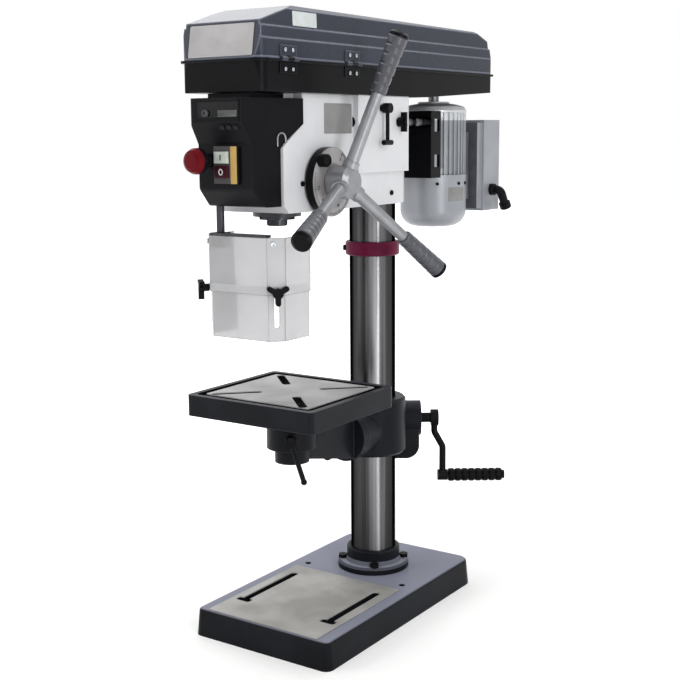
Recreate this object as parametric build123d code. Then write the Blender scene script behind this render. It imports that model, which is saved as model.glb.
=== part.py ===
import math
import os

from build123d import *

# Bench drill in millimetres: X to the right, Y to the rear, Z up.
# The column axis is the origin and the floor is at zero height.

# Fits
run_gap = 0.05
seat_gap = 0.02
pass_gap = 0.3
pressure_deg = 20.0

# Base plate
base_half = 136.0
base_front = -340.0
base_rear = 131.0
base_top = 46.0
base_draft_deg = 5.5
base_front_round = 14.0
base_rear_round = 26.0
base_edge_round = 5.0
base_roof = 11.0
base_wall = 12.0
base_rib = 8.0
base_rib_offset = 50.0
base_rib_front = -200.0
base_rib_rear = -85.0
pad_rise = 2.0
pad_half = 109.0
pad_front = -332.0
pad_rear = -88.0
slot_offset = 86.0
slot_width = 14.0
slot_front = -275.0
slot_rear = -120.0
slot_foot_half = 14.0
hole_offset = 100.0
hole_y = -64.0
hole_radius = 5.5
hole_boss = 15.0

# Column, flange and collar
column_radius = 40.0
column_wall = 5.0
column_top_off = -8.0
flange_radius = 64.0
flange_thick = 13.0
neck_wall = 7.5
neck_top = 84.0
boss_margin = 6.0
bolt_radius = 5.0
bolt_circle = 55.0
bolt_head = 8.5
bolt_head_height = 6.4
bolt_depth = 24.0
bolt_start_deg = 35.0
collar_bottom = 612.0
collar_height = 24.0
collar_wall = 7.0

# Table lift
lift_deg = 35.0
lift_module = 2.5
lift_teeth = 12
lift_z_off = 43.0
rack_gap = 0.4
rack_base = 6.0
rack_width = 15.0
rack_tip = 0.65
rack_root = 1.1
pinion_tip = 0.9
pinion_root = 1.0
tooth_slack = 0.35
mesh_gap = 0.15
lift_pinion_half = 10.0
lift_shaft_radius = 9.0
lift_shaft_start = -26.0
crank_seat = 109.0
crank_hub_length = 14.0
crank_hub_radius = 15.0
crank_reach = 109.5
crank_offset = 15.5
crank_bar = 6.0
crank_boss = 9.0
crank_face = 4.0
crank_bend = 12.0
crank_sweep = 40.0
crank_round = 14.0
crank_eye = 10.0
grip_pin = 5.0
grip_gap = 1.0
grip_length = 100.0
grip_radius = 12.0
grip_waist = 10.2
grip_ribs = 8
grip_head = 1.5

# Table bracket
bracket_bottom = 260.0
bracket_top_off = 100.0
bracket_wall = 18.5
bracket_gap = 0.3
barrel_radius = 32.0
barrel_start = -34.0
barrel_end = 90.0
gear_room_end = 64.0
case_low_off = -27.0
case_end = 86.0
case_half = 28.0
case_round = 24.0
case_wall = 10.0
bracket_edge = 4.0
rack_room = 1.2
tilt_z_off = 45.0
tilt_seam = -77.0
tilt_radius = 44.0
tilt_bolt_radius = 10.0
tilt_bolt_head = 15.0
tilt_head_height = 9.0
clamp_screw = 6.0
clamp_z_off = 40.0
clamp_hub = 10.0
clamp_reach = 70.0
clamp_ball = 9.0

# Table and arm
table_y = -243.0
table_half_x = 122.5
table_half_y = 115.0
table_top_off = 153.0
table_depth = 34.0
table_roof = 13.0
table_wall = 8.0
table_round = 8.0
gutter_inset = 10.0
gutter_width = 12.0
gutter_depth = 5.0
table_slot_width = 14.0
table_slot_start = 46.0
table_slot_end = 128.0
stem_radius = 20.0
stem_bottom_off = 40.0
hub_radius = 41.0
hub_top_off = 118.0
hub_step_off = 60.0
hub_foot_radius = 28.0
hub_bottom_off = 36.0
arm_half = 22.0
arm_low_off = 8.0
arm_high_off = 84.0
arm_flange = 18.0
lock_z_off = 20.0
lock_screw = 5.0
lock_deg = -55.0
lock_lean_deg = 17.0
lock_bar = 4.0
lock_boss = 10.0
lock_reach = 68.0
lock_ball = 5.0

# Head casting
head_half = 62.0
head_bottom = 703.0
head_top_off = 177.0
head_front_off = -64.0
head_slope_low_off = -79.0
head_slope_high_off = -46.0
head_step_front_off = -15.0
head_chin = 12.0
head_wall = 8.0
sleeve_wall = 15.0
box_half = 72.0
box_front = -152.0
box_rear = 2.0
box_bottom_off = -123.0
barrel_wall = 20.5
lip_wall = 10.0
lip_bottom_off = -8.0
set_screw = 4.0
set_screw_length = 24.0
column_screw_y = -22.0
column_screw_z_off = 18.0
quill_screw_y_off = -18.0
quill_screw_z_off = 43.0

# Spindle and quill
spindle_y = -273.0
quill_radius = 27.5
quill_bottom_off = -13.0
quill_top_off = -34.0
quill_flat = 0.5
quill_bore = 20.0
quill_bearing = 23.5
quill_bearing_height = 12.0
quill_bearing_lip = 2.0
bearing_groove_half = 2.0
bearing_groove_depth = 1.0
spindle_radius = 12.5
spindle_nose = 16.0
nose_bottom_off = -23.0
spindle_top_off = 88.0
spline_core = 8.5
spline_reach = 10.0
spline_width = 4.0
spline_count = 6
taper_mouth = 8.89
taper_length = 64.0
taper_slope = 0.025
drift_width = 7.0
drift_height = 18.0

# Feed
feed_z_off = 44.0
feed_module = 1.75
feed_teeth = 14
feed_tip = 0.7
feed_pinion_half = 16.0
feed_journal = 14.5
feed_shaft = 10.0
feed_boss = 30.0
feed_boss_height = 2.0
feed_hub_radius = 25.0
feed_hub_start = 82.0
feed_hub_end = 120.0
feed_hub_face = 5.0
feed_ring_seat = 20.0
spoke_count = 3
spoke_start_deg = -11.3
spoke_cone_deg = 17.7
spoke_boss = 12.5
spoke_boss_end = 33.0
spoke_tang = 7.0
spoke_seat = 18.0
spoke_root = 10.0
spoke_tip = 9.0
spoke_end = 148.0
spoke_pin = 5.0
spoke_pin_short = 12.0
handle_length = 88.0
handle_root = 12.5
handle_end = 15.0
handle_ribs = 6
handle_cap = 7.0
ring_radius = 53.0
ring_start = 66.0
ring_end = 80.0
ring_dish = 7.0
ring_rim = 12.0
knob_place = 47.04
knob_deg = 135.0
knob_radius = 10.0
knob_height = 15.0
knob_stud = 3.0
cap_radius = 36.0
cap_depth = 30.0
cap_wall = 3.0
spring_width = 16.0
spring_strip = 0.8
spring_pitch = 3.4
spring_turns = 5

# Front cover
cover_front_off = -144.0
cover_front_half = 47.0
cover_rear_half = 64.0
cover_top_off = -8.0
cover_low_front_off = -123.0
cover_low_off = 11.0
cover_shelf_off = -42.0
cover_shelf_drop = 32.0
cover_chin = 26.0
cover_wall = 3.0
cover_seam = 0.6
cover_neck_half = 38.0
cover_neck_front_off = -113.0
display_left = -30.0
display_right = 45.0
display_low_off = -37.0
display_high_off = -14.0
display_thick = 2.0
switch_left = -18.0
switch_right = 28.0
switch_low_off = 46.0
switch_high_off = 100.0
switch_thick = 4.0
button_half = 13.0
button_height = 17.0
button_x = -3.0
button_proud = 3.0
button_travel = 3.0
start_z_off = 84.0
stop_z_off = 63.0
estop_x = -29.0
estop_z_off = 79.0
estop_radius = 19.0
estop_stem = 8.0
estop_collar = 10.5
estop_collar_height = 10.0
estop_head = 22.0
estop_gap = 11.0

# Hood
rim_half = 80.0
rim_front_off = -136.0
rim_rear_off = 99.0
rim_z_off = 46.0
rim_thick = 3.5
rim_lip = 5.0
pan_wall = 3.0
pan_round = 16.0
pan_break = 60.0
pan_rise = 13.0
pan_end_lean = 5.0
lid_wall = 2.5
lid_top_off = 78.0
lid_step_one_off = 28.5
lid_step_two_off = 46.0
lid_step_three_off = -6.0
lid_ledge = 3.0
lid_crown_half = 60.0
lid_front_lean = 9.0
lid_front_high_off = -25.0
lid_crown_front_off = -40.0
lid_crown_rear_off = 34.0
lid_rear_shoulder_off = 81.0
lid_rear_high_off = -18.0
hinge_front_off = -67.0
hinge_rear_off = 99.0
hinge_length = 40.0
hinge_leaf = 1.5
hinge_leaf_height = 20.0
hinge_barrel = 3.5
hinge_pin = 1.5
hinge_middle = 15.0
hinge_slack = 0.4

# Belt drive
pulley_bottom_off = 17.0
pulley_pitch = 18.0
pulley_rim = 3.0
spindle_step_low = 60.0
spindle_step_mid = 48.0
spindle_step_high = 36.0
motor_step_low = 30.0
motor_step_mid = 42.0
motor_step_high = 54.0
groove_depth = 11.0
groove_half_deg = 18.0
belt_width = 12.5
belt_height = 8.0
belt_sink = 0.6
belt_gap = 0.3
drive_sleeve_radius = 15.0
sleeve_bottom_off = -29.0
sleeve_top_off = 82.0
sleeve_shoulder = 18.0
sleeve_bearing = 27.5
sleeve_bearing_height = 13.0
sleeve_bearing_low_off = -27.0
bearing_lip = 20.0

# Motor
motor_y = 211.0
motor_travel = 12.0
motor_core = 56.0
motor_fin = 60.0
motor_fin_width = 2.6
motor_fins = 36
motor_low_off = -136.0
motor_fins_top_off = -22.0
motor_bell_top_off = -4.0
motor_bore = 47.0
stack_bore = 35.0
rotor_gap = 0.8
stack_low_off = -105.0
stack_high_off = -45.0
motor_shaft = 9.5
motor_bearing = 21.0
motor_bearing_height = 12.0
motor_seat_wall = 4.0
bell_wall = 8.0
bell_rise = 3.0
bell_rim = 1.0
motor_shield = 16.0
foot_half = 42.0
foot_low_off = -124.0
foot_high_off = -32.0
cowl_radius = 61.5
cowl_low_off = -232.0
cowl_round = 30.0
cowl_wall = 2.0
cowl_slits = 12
cowl_slit_length = 18.0
cowl_slit_width = 4.0
cowl_slit_place = 19.0
fan_radius = 50.0
fan_blades = 8
fan_low_gap = 22.0
fan_high_gap = 14.0
fan_hub_wall = 6.0
fan_disc = 3.0
fan_blade_half = 1.2
pulley_top_gap = 5.0
plate_front_off = -119.0
plate_thick = 8.0
plate_half = 64.0
plate_low_off = -139.0
plate_high_off = -22.0
plate_flange = 26.0
plate_flange_thick = 5.0
plate_window = 22.0
rod_offset = 57.0
rod_radius = 9.0
rod_z_off = -42.0
rod_front = -140.0
rod_end_radius = 5.0
terminal_front_off = 63.0
terminal_rear_off = 146.0
terminal_half = 64.0
terminal_low_off = -207.0
terminal_high_off = -37.0
terminal_strip = 17.0
terminal_inset = 5.0
terminal_wall = 3.0
gland_y_off = 111.0
gland_z_off = -168.0
gland_radius = 8.0
gland_nut = 11.0
gland_reach = 20.0
gland_bend = 10.0
gland_back = 20.0
gland_fall = 34.0
gland_collar = 10.0
gland_bore = 5.0
lever_y = -84.0
lever_z_off = -20.0
lever_shaft = 5.0
lever_finger = 17.0
lever_finger_width = 6.0
lever_arm_x = 84.0
lever_reach = 55.0
lever_bar = 3.2
lever_tee = 12.0
wing_y = -31.0
wing_screw = 4.0
wing_reach = 16.0

# Guard
post_x = -42.0
post_y_off = -86.0
post_radius = 6.0
post_bottom_off = -53.0
post_lug_low_off = 19.0
post_lug_high_off = 39.0
post_lug_half = 9.0
post_head = 9.0
post_head_height = 6.0
screen_half = 75.0
screen_front_off = -99.0
screen_rear_off = -17.0
screen_bevel = 20.0
screen_wall = 3.0
screen_gap = 0.4
upper_low_off = -118.0
upper_high_off = -33.0
lower_low_off = -188.0
lower_high_off = -106.0
screen_slot = 7.0
screen_travel = 50.0
screen_bolt_z_off = -114.0
screen_bolt = 3.0
guard_knob_hub = 8.0
guard_knob_lobe = 4.0
guard_knob_reach = 14.5
guard_knob_thick = 9.0
guard_knob_stand = 8.0
clamp_block_half = 11.0
clamp_low_off = -51.0
rail_high_off = -29.0
rail_depth = 12.0

# Heights of the head, counted from its underside
head_top = head_bottom + head_top_off
lip_bottom = head_bottom + lip_bottom_off
column_screw_z = head_bottom + column_screw_z_off
quill_screw_z = head_bottom + quill_screw_z_off
quill_bottom = head_bottom + quill_bottom_off
nose_bottom = head_bottom + nose_bottom_off
feed_z = head_bottom + feed_z_off
cover_low = head_bottom + cover_low_off
switch_low = head_bottom + switch_low_off
switch_high = head_bottom + switch_high_off
start_z = head_bottom + start_z_off
stop_z = head_bottom + stop_z_off
estop_z = head_bottom + estop_z_off
post_bottom = head_bottom + post_bottom_off
post_lug_low = head_bottom + post_lug_low_off
post_lug_high = head_bottom + post_lug_high_off
upper_low = head_bottom + upper_low_off
upper_high = head_bottom + upper_high_off
lower_low = head_bottom + lower_low_off
lower_high = head_bottom + lower_high_off
screen_bolt_z = head_bottom + screen_bolt_z_off
clamp_low = head_bottom + clamp_low_off
rail_high = head_bottom + rail_high_off

# Heights counted from the top of the head
head_slope_low = head_top + head_slope_low_off
head_slope_high = head_top + head_slope_high_off
box_bottom = head_top + box_bottom_off
column_top = head_top + column_top_off
quill_top = head_top + quill_top_off
spindle_top = head_top + spindle_top_off
cover_top = head_top + cover_top_off
cover_shelf = head_top + cover_shelf_off
display_low = head_top + display_low_off
display_high = head_top + display_high_off
rim_z = head_top + rim_z_off
pulley_bottom = head_top + pulley_bottom_off
sleeve_bottom = head_top + sleeve_bottom_off
sleeve_top = head_top + sleeve_top_off
sleeve_bearing_low = head_top + sleeve_bearing_low_off
motor_low = head_top + motor_low_off
motor_fins_top = head_top + motor_fins_top_off
motor_bell_top = head_top + motor_bell_top_off
stack_low = head_top + stack_low_off
stack_high = head_top + stack_high_off
foot_low = head_top + foot_low_off
foot_high = head_top + foot_high_off
cowl_low = head_top + cowl_low_off
plate_low = head_top + plate_low_off
plate_high = head_top + plate_high_off
rod_z = head_top + rod_z_off
terminal_low = head_top + terminal_low_off
terminal_high = head_top + terminal_high_off
gland_z = head_top + gland_z_off
lever_z = head_top + lever_z_off

# Heights of the hood lid, counted from the rim and from the crown
lid_top = rim_z + lid_top_off
lid_step_one = rim_z + lid_step_one_off
lid_step_two = rim_z + lid_step_two_off
lid_step_three = lid_top + lid_step_three_off
lid_front_high = lid_top + lid_front_high_off
lid_rear_high = lid_top + lid_rear_high_off

# Heights of the table group, counted from the underside of the bracket
case_low = bracket_bottom + case_low_off
lift_z = bracket_bottom + lift_z_off
bracket_top = bracket_bottom + bracket_top_off
tilt_z = bracket_bottom + tilt_z_off
clamp_z = bracket_bottom + clamp_z_off
table_top = bracket_bottom + table_top_off
stem_bottom = bracket_bottom + stem_bottom_off
hub_top = bracket_bottom + hub_top_off
hub_step = bracket_bottom + hub_step_off
hub_bottom = bracket_bottom + hub_bottom_off
arm_low = bracket_bottom + arm_low_off
arm_high = bracket_bottom + arm_high_off
lock_z = hub_step + lock_z_off

# Depths of the head, counted from the spindle axis
head_front = spindle_y + head_front_off
head_step_front = spindle_y + head_step_front_off
quill_screw_y = spindle_y + quill_screw_y_off
cover_front = spindle_y + cover_front_off
cover_low_front = spindle_y + cover_low_front_off
cover_neck_front = spindle_y + cover_neck_front_off
rim_front = spindle_y + rim_front_off
lid_crown_front = spindle_y + lid_crown_front_off
post_y = spindle_y + post_y_off
screen_front = spindle_y + screen_front_off
screen_rear = spindle_y + screen_rear_off
hinge_front = spindle_y + hinge_front_off
hinge_rear = spindle_y + hinge_rear_off

# Depths of the motor, counted from its axis
plate_front = motor_y + plate_front_off
terminal_front = motor_y + terminal_front_off
terminal_rear = motor_y + terminal_rear_off
gland_y = motor_y + gland_y_off
rim_rear = motor_y + rim_rear_off
lid_crown_rear = motor_y + lid_crown_rear_off
lid_rear_shoulder = motor_y + lid_rear_shoulder_off


def slab(x0, x1, y0, y1, z0, z1):
    middle = Pos((x0 + x1) / 2, (y0 + y1) / 2, (z0 + z1) / 2)
    return middle * Box(x1 - x0, y1 - y0, z1 - z0)


def upright(x, y, z0, z1, radius):
    return Pos(x, y, (z0 + z1) / 2) * Cylinder(radius, z1 - z0)


def along_x(x0, x1, y, z, radius):
    return Pos((x0 + x1) / 2, y, z) * Rot(0, 90, 0) * Cylinder(radius, x1 - x0)


def along_y(y0, y1, x, z, radius):
    return Pos(x, (y0 + y1) / 2, z) * Rot(90, 0, 0) * Cylinder(radius, y1 - y0)


def side_solid(outline, x0, x1):
    return extrude(Plane.YZ.offset(x0) * outline, amount=x1 - x0, dir=(1, 0, 0))


def plan_solid(outline, z0, z1):
    return extrude(Plane.XY.offset(z0) * outline, amount=z1 - z0, dir=(0, 0, 1))


def flat(*points):
    return Polygon(*points, align=None)


def rounded(points, radii):
    return make_face(FilletPolyline(*points, radius=radii, close=True))


def turned(points, x=0.0, y=0.0):
    return Pos(x, y, 0) * revolve(Plane.XZ * flat(*points), Axis.Z)


def plan_box(half, front, rear, radius):
    points = [(-half, front), (half, front), (half, rear), (-half, rear)]
    return rounded(points, [radius] * 4)


def group(shapes):
    return Compound(children=[shape.solid() for shape in shapes])


def involute(angle):
    return math.tan(angle) - angle


def pinion_outline(teeth, module, tip, root, slack):
    pitch_radius = teeth * module / 2
    base_radius = pitch_radius * math.cos(math.radians(pressure_deg))
    tip_radius = pitch_radius + tip * module
    root_radius = pitch_radius - root * module
    half_angle = (math.pi * module / 2 - slack) / (2 * pitch_radius)
    half_angle += involute(math.radians(pressure_deg))
    flank = [(root_radius, half_angle)]
    for step in range(5):
        radius = base_radius + (tip_radius - base_radius) * step / 4
        flank.append((radius, half_angle - involute(math.acos(base_radius / radius))))
    points = []
    for tooth in range(teeth):
        middle = math.pi + (tooth + 0.5) * 2 * math.pi / teeth
        for radius, angle in flank:
            points.append((radius * math.cos(middle - angle), radius * math.sin(middle - angle)))
        for radius, angle in reversed(flank):
            points.append((radius * math.cos(middle + angle), radius * math.sin(middle + angle)))
    return flat(*points)


def rack_edge(middle, pitch_line, module, tip, root, slack, low, high):
    pitch = math.pi * module
    half = (pitch / 2 - slack) / 2
    lean = math.tan(math.radians(pressure_deg))
    tip_half = half - tip * module * lean
    root_half = half + root * module * lean
    points = []
    first = math.ceil((low + root_half - middle) / pitch)
    last = math.floor((high - root_half - middle) / pitch)
    for tooth in range(first, last + 1):
        place = middle + tooth * pitch
        points.append((pitch_line - root * module, place - root_half))
        points.append((pitch_line + tip * module, place - tip_half))
        points.append((pitch_line + tip * module, place + tip_half))
        points.append((pitch_line - root * module, place + root_half))
    return points


parts = {}

# Base plate, hollow below, with ribs, a column boss and two mounting bosses
pad_top = base_top + pad_rise
base_points = [
    (-base_half, base_front),
    (base_half, base_front),
    (base_half, base_rear),
    (-base_half, base_rear),
]
base_rounds = [base_front_round, base_front_round, base_rear_round, base_rear_round]
base_plate = extrude(rounded(base_points, base_rounds), amount=base_top, taper=base_draft_deg)
base_plate = fillet(base_plate.faces().sort_by(Axis.Z)[-1].edges(), base_edge_round)
base_plate += slab(-pad_half, pad_half, pad_front, pad_rear, base_top - base_roof / 2, pad_top)
hollow_top = base_top - base_roof
hollow_half = base_half - base_wall
hollow = plan_solid(
    plan_box(hollow_half, base_front + base_wall, base_rear - base_wall, base_front_round),
    -1,
    hollow_top,
)
for side in (-1, 1):
    rib_x = side * base_rib_offset
    hollow -= slab(rib_x - base_rib / 2, rib_x + base_rib / 2, base_front, base_rear, 2, hollow_top)
    hollow -= upright(side * hole_offset, hole_y, -1, hollow_top, hole_boss)
for rib_y in (base_rib_front, base_rib_rear):
    hollow -= slab(-base_half, base_half, rib_y - base_rib / 2, rib_y + base_rib / 2, 2, hollow_top)
hollow -= upright(0, 0, -1, hollow_top, flange_radius + boss_margin)
base_plate -= hollow
for side in (-1, 1):
    slot_x = side * slot_offset
    slot_length = slot_rear - slot_front
    slot_plan = Pos(slot_x, (slot_front + slot_rear) / 2) * SlotOverall(slot_length, slot_width, 90)
    foot_plan = Pos(slot_x, slot_front + slot_width / 2)
    foot_plan = foot_plan * RectangleRounded(2 * slot_foot_half, slot_width, slot_width / 3)
    base_plate -= plan_solid(slot_plan, -1, pad_top + 1)
    base_plate -= plan_solid(foot_plan, -1, pad_top + 1)
    base_plate -= upright(side * hole_offset, hole_y, -1, pad_top + 1, hole_radius)
bolt_spots = []
for turn in range(4):
    bolt_turn = math.radians(bolt_start_deg + 90 * turn)
    bolt_spots.append((bolt_circle * math.cos(bolt_turn), bolt_circle * math.sin(bolt_turn)))
for bolt_x, bolt_y in bolt_spots:
    base_plate -= upright(bolt_x, bolt_y, base_top - bolt_depth, base_top + 1, bolt_radius + seat_gap)
parts["base_plate"] = base_plate

# Column with its flange, bolts and collar
column_bore = column_radius + seat_gap
flange_top = base_top + flange_thick
neck_radius = column_radius + neck_wall
flange = turned(
    [
        (column_bore, base_top),
        (flange_radius, base_top),
        (flange_radius, flange_top - 4),
        (flange_radius - 4, flange_top),
        (neck_radius + 4, flange_top),
        (neck_radius, flange_top + 6),
        (neck_radius, neck_top - 2),
        (neck_radius - 2, neck_top),
        (column_bore, neck_top),
    ]
)
flange_bolts = []
for bolt_x, bolt_y in bolt_spots:
    flange -= upright(bolt_x, bolt_y, base_top - 1, flange_top + 1, bolt_radius + seat_gap)
    flange -= upright(bolt_x, bolt_y, flange_top, flange_top + 12, bolt_head + 1)
    bolt = upright(bolt_x, bolt_y, base_top - bolt_depth + 1, flange_top + 1, bolt_radius)
    head_plan = Pos(bolt_x, bolt_y) * RegularPolygon(bolt_head, 6)
    bolt += plan_solid(head_plan, flange_top, flange_top + bolt_head_height)
    flange_bolts.append(bolt)
parts["column_flange"] = flange
parts["flange_bolts"] = group(flange_bolts)
column = upright(0, 0, base_top, column_top, column_radius)
column -= upright(0, 0, base_top - 1, column_top + 1, column_radius - column_wall)
parts["column"] = column
collar_top = collar_bottom + collar_height
collar_radius = column_radius + collar_wall
parts["rack_collar"] = turned(
    [
        (column_bore, collar_bottom),
        (collar_radius - 2, collar_bottom),
        (collar_radius, collar_bottom + 2),
        (collar_radius, collar_top - 2),
        (collar_radius - 2, collar_top),
        (column_bore, collar_top),
    ]
)

# Lift rack, standing free round the column between flange neck and collar
lift_turn = math.radians(lift_deg)
lift_out = Vector(-math.sin(lift_turn), math.cos(lift_turn), 0)
lift_along = Vector(math.cos(lift_turn), math.sin(lift_turn), 0)
lift_plane = Plane(origin=(0, 0, 0), x_dir=lift_out, z_dir=lift_along)
rack_back = column_radius + rack_gap
rack_line = rack_back + rack_base + rack_root * lift_module
rack_face = rack_line + rack_tip * lift_module
rack_low = neck_top + 1
rack_high = collar_bottom - 1
rack_points = [(rack_back - rack_base, rack_low)]
rack_points.append((rack_line - rack_root * lift_module, rack_low))
rack_points += rack_edge(
    lift_z, rack_line, lift_module, rack_tip, rack_root, tooth_slack, rack_low + 2, rack_high - 2
)
rack_points.append((rack_line - rack_root * lift_module, rack_high))
rack_points.append((rack_back - rack_base, rack_high))
lift_rack = extrude(lift_plane * flat(*rack_points), amount=rack_width / 2, both=True)
lift_rack -= upright(0, 0, rack_low - 1, rack_high + 1, rack_back)
parts["lift_rack"] = lift_rack

# Crank shaft with its pinion, crank arm and turning grip
lift_pitch_radius = lift_teeth * lift_module / 2
lift_axis = rack_line + lift_pitch_radius + mesh_gap
lift_centre = lift_out * lift_axis + Vector(0, 0, lift_z)


def lift_rod(start, end, radius, drop=0.0):
    middle = lift_centre + lift_along * ((start + end) / 2) - Vector(0, 0, drop)
    return Plane(origin=middle, x_dir=lift_out, z_dir=lift_along) * Cylinder(radius, end - start)


crank_end = crank_seat + crank_hub_length
lift_gear = pinion_outline(lift_teeth, lift_module, pinion_tip, pinion_root, tooth_slack)
lift_gear = extrude(
    lift_plane * Pos(lift_axis, lift_z) * lift_gear, amount=lift_pinion_half, both=True
)
crank_shaft = lift_gear
crank_shaft += lift_rod(lift_shaft_start, -lift_pinion_half, lift_shaft_radius)
crank_shaft += lift_rod(lift_pinion_half, crank_end - crank_face, lift_shaft_radius)
parts["crank_shaft"] = crank_shaft
crank_plane = Plane(origin=lift_centre, x_dir=lift_along, z_dir=lift_out)
crank_mid = (crank_seat + crank_end) / 2
crank_low = crank_mid + crank_offset
grip_start = crank_low + crank_boss + grip_gap
crank_sign = 1.0 if crank_plane.y_dir.Z > 0 else -1.0
crank_points = [
    (crank_mid, -crank_sign * (crank_hub_radius - 4)),
    (crank_mid, -crank_sign * (crank_hub_radius + crank_bend)),
    (crank_low, -crank_sign * (crank_hub_radius + crank_sweep)),
    (crank_low, -crank_sign * (crank_reach + crank_bar)),
]
crank_path = crank_plane * FilletPolyline(*crank_points, radius=crank_round)
crank_section = Plane(origin=crank_path @ 0, z_dir=crank_path % 0) * Circle(crank_bar)
crank_arm = sweep(crank_section, crank_path)
crank_arm += lift_rod(crank_seat, crank_end, crank_hub_radius)
crank_arm += lift_rod(crank_low - crank_boss, crank_low + crank_boss, crank_eye, crank_reach)
pin_head = grip_start + grip_length + grip_head
crank_arm += lift_rod(crank_low, pin_head + grip_head, grip_pin, crank_reach)
crank_arm += lift_rod(pin_head, pin_head + 2 * grip_head, grip_pin + 2 * grip_head, crank_reach)
crank_arm -= lift_rod(crank_seat - 1, crank_end - crank_face + seat_gap, lift_shaft_radius + seat_gap)
parts["crank_arm"] = crank_arm
grip_points = [(grip_pin + run_gap, 0)]
for rib in range(grip_ribs):
    rib_start = grip_length * rib / grip_ribs
    rib_end = grip_length * (rib + 1) / grip_ribs
    grip_points.append((grip_waist, rib_start))
    grip_points.append((grip_radius, rib_start + 3))
    grip_points.append((grip_radius, rib_end - 3))
    grip_points.append((grip_waist, rib_end))
grip_points.append((grip_pin + run_gap, grip_length))
grip_origin = lift_centre + lift_along * grip_start - Vector(0, 0, crank_reach)
grip_plane = Plane(origin=grip_origin, x_dir=lift_out, z_dir=lift_along)
parts["crank_grip"] = grip_plane * turned(grip_points)

# Table bracket sliding on the column
bracket_radius = column_radius + bracket_wall
bracket_bore = column_radius + bracket_gap
bracket = upright(0, 0, bracket_bottom, bracket_top, bracket_radius)
bracket = chamfer(bracket.edges().filter_by(GeomType.CIRCLE), bracket_edge)
bracket += lift_rod(barrel_start, barrel_end, barrel_radius)
case_drop = -crank_sign * (lift_z - case_low)
case_side = rounded(
    [(0, 0), (case_end, 0), (case_end, case_drop), (0, case_drop)], [0, 0, case_round, 0]
)
bracket += extrude(crank_plane * case_side, amount=case_half, both=True)
bracket += along_y(tilt_seam, 0, 0, tilt_z, tilt_radius)
clamp_face = -(bracket_radius + 8)
bracket += along_x(clamp_face, 0, 0, clamp_z, clamp_screw + 10)
bracket -= upright(0, 0, case_low - 1, bracket_top + 1, bracket_bore)
rack_slot = extrude(
    lift_plane
    * flat(
        (rack_back - rack_base, case_low - 1),
        (rack_face + rack_room, case_low - 1),
        (rack_face + rack_room, bracket_top + 1),
        (rack_back - rack_base, bracket_top + 1),
    ),
    amount=rack_width / 2 + rack_room,
    both=True,
)
bracket -= rack_slot
gear_room = lift_pitch_radius + pinion_tip * lift_module + rack_room
bracket -= lift_rod(-lift_pinion_half - rack_room, gear_room_end, gear_room)
bracket -= Plane(origin=(0, 0, 0), x_dir=lift_along, z_dir=(0, 0, 1)) * slab(
    lift_pinion_half, gear_room_end - case_wall, rack_face, lift_axis + case_half - case_wall,
    case_low + case_wall, lift_z,
)
bracket -= lift_rod(barrel_start - 1, barrel_end + 1, lift_shaft_radius + run_gap)
tilt_bore = tilt_bolt_radius + run_gap
bracket -= along_y(tilt_seam - 1, -bracket_bore + 2, 0, tilt_z, tilt_bore)
bracket -= along_x(clamp_face - 1, 0, 0, clamp_z, clamp_screw + run_gap)
parts["table_bracket"] = bracket

# Column clamp lever on the hidden side of the bracket
clamp_outer = clamp_face - 2 * clamp_hub
clamp_lever = along_x(clamp_outer, -(bracket_bore + 1), 0, clamp_z, clamp_screw)
clamp_lever += along_x(clamp_outer, clamp_face - 0.5, 0, clamp_z, clamp_hub)
clamp_axis = (clamp_outer + clamp_face) / 2
clamp_lever += Plane(
    origin=(clamp_axis, 0, clamp_z), x_dir=(0, 1, 0), z_dir=(-0.35, 0, -1)
) * Pos(0, 0, clamp_reach / 2) * Cylinder(4.5, clamp_reach)
clamp_tip = Vector(-0.35, 0, -1).normalized() * clamp_reach
clamp_lever += Pos(clamp_axis + clamp_tip.X, 0, clamp_z + clamp_tip.Z) * Sphere(clamp_ball)
parts["column_clamp_lever"] = clamp_lever

# Tilting arm with the table hub
arm_front = tilt_seam - arm_flange
table_arm = along_y(arm_front, tilt_seam, 0, tilt_z, tilt_radius)
arm_outline = rounded(
    [
        (arm_front + 2, arm_low),
        (arm_front + 2, arm_high),
        (table_y, hub_top - 12),
        (table_y, hub_bottom + 6),
    ],
    [0, 0, 0, 0],
)
table_arm += side_solid(arm_outline, -arm_half, arm_half)
table_arm += upright(0, table_y, hub_step, hub_top, hub_radius)
table_arm += upright(0, table_y, hub_bottom, hub_step, hub_foot_radius)
lock_face = hub_radius + lock_bar
lock_turn = math.radians(lock_deg)
lock_way = Vector(math.cos(lock_turn), math.sin(lock_turn), 0)
lock_side = Vector(-math.sin(lock_turn), math.cos(lock_turn), 0)


def lock_place(reach):
    return Vector(0, table_y, lock_z) + lock_way * reach


def lock_rod(start, end, radius):
    return Plane(origin=lock_place((start + end) / 2), z_dir=lock_way) * Cylinder(radius, end - start)


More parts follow.
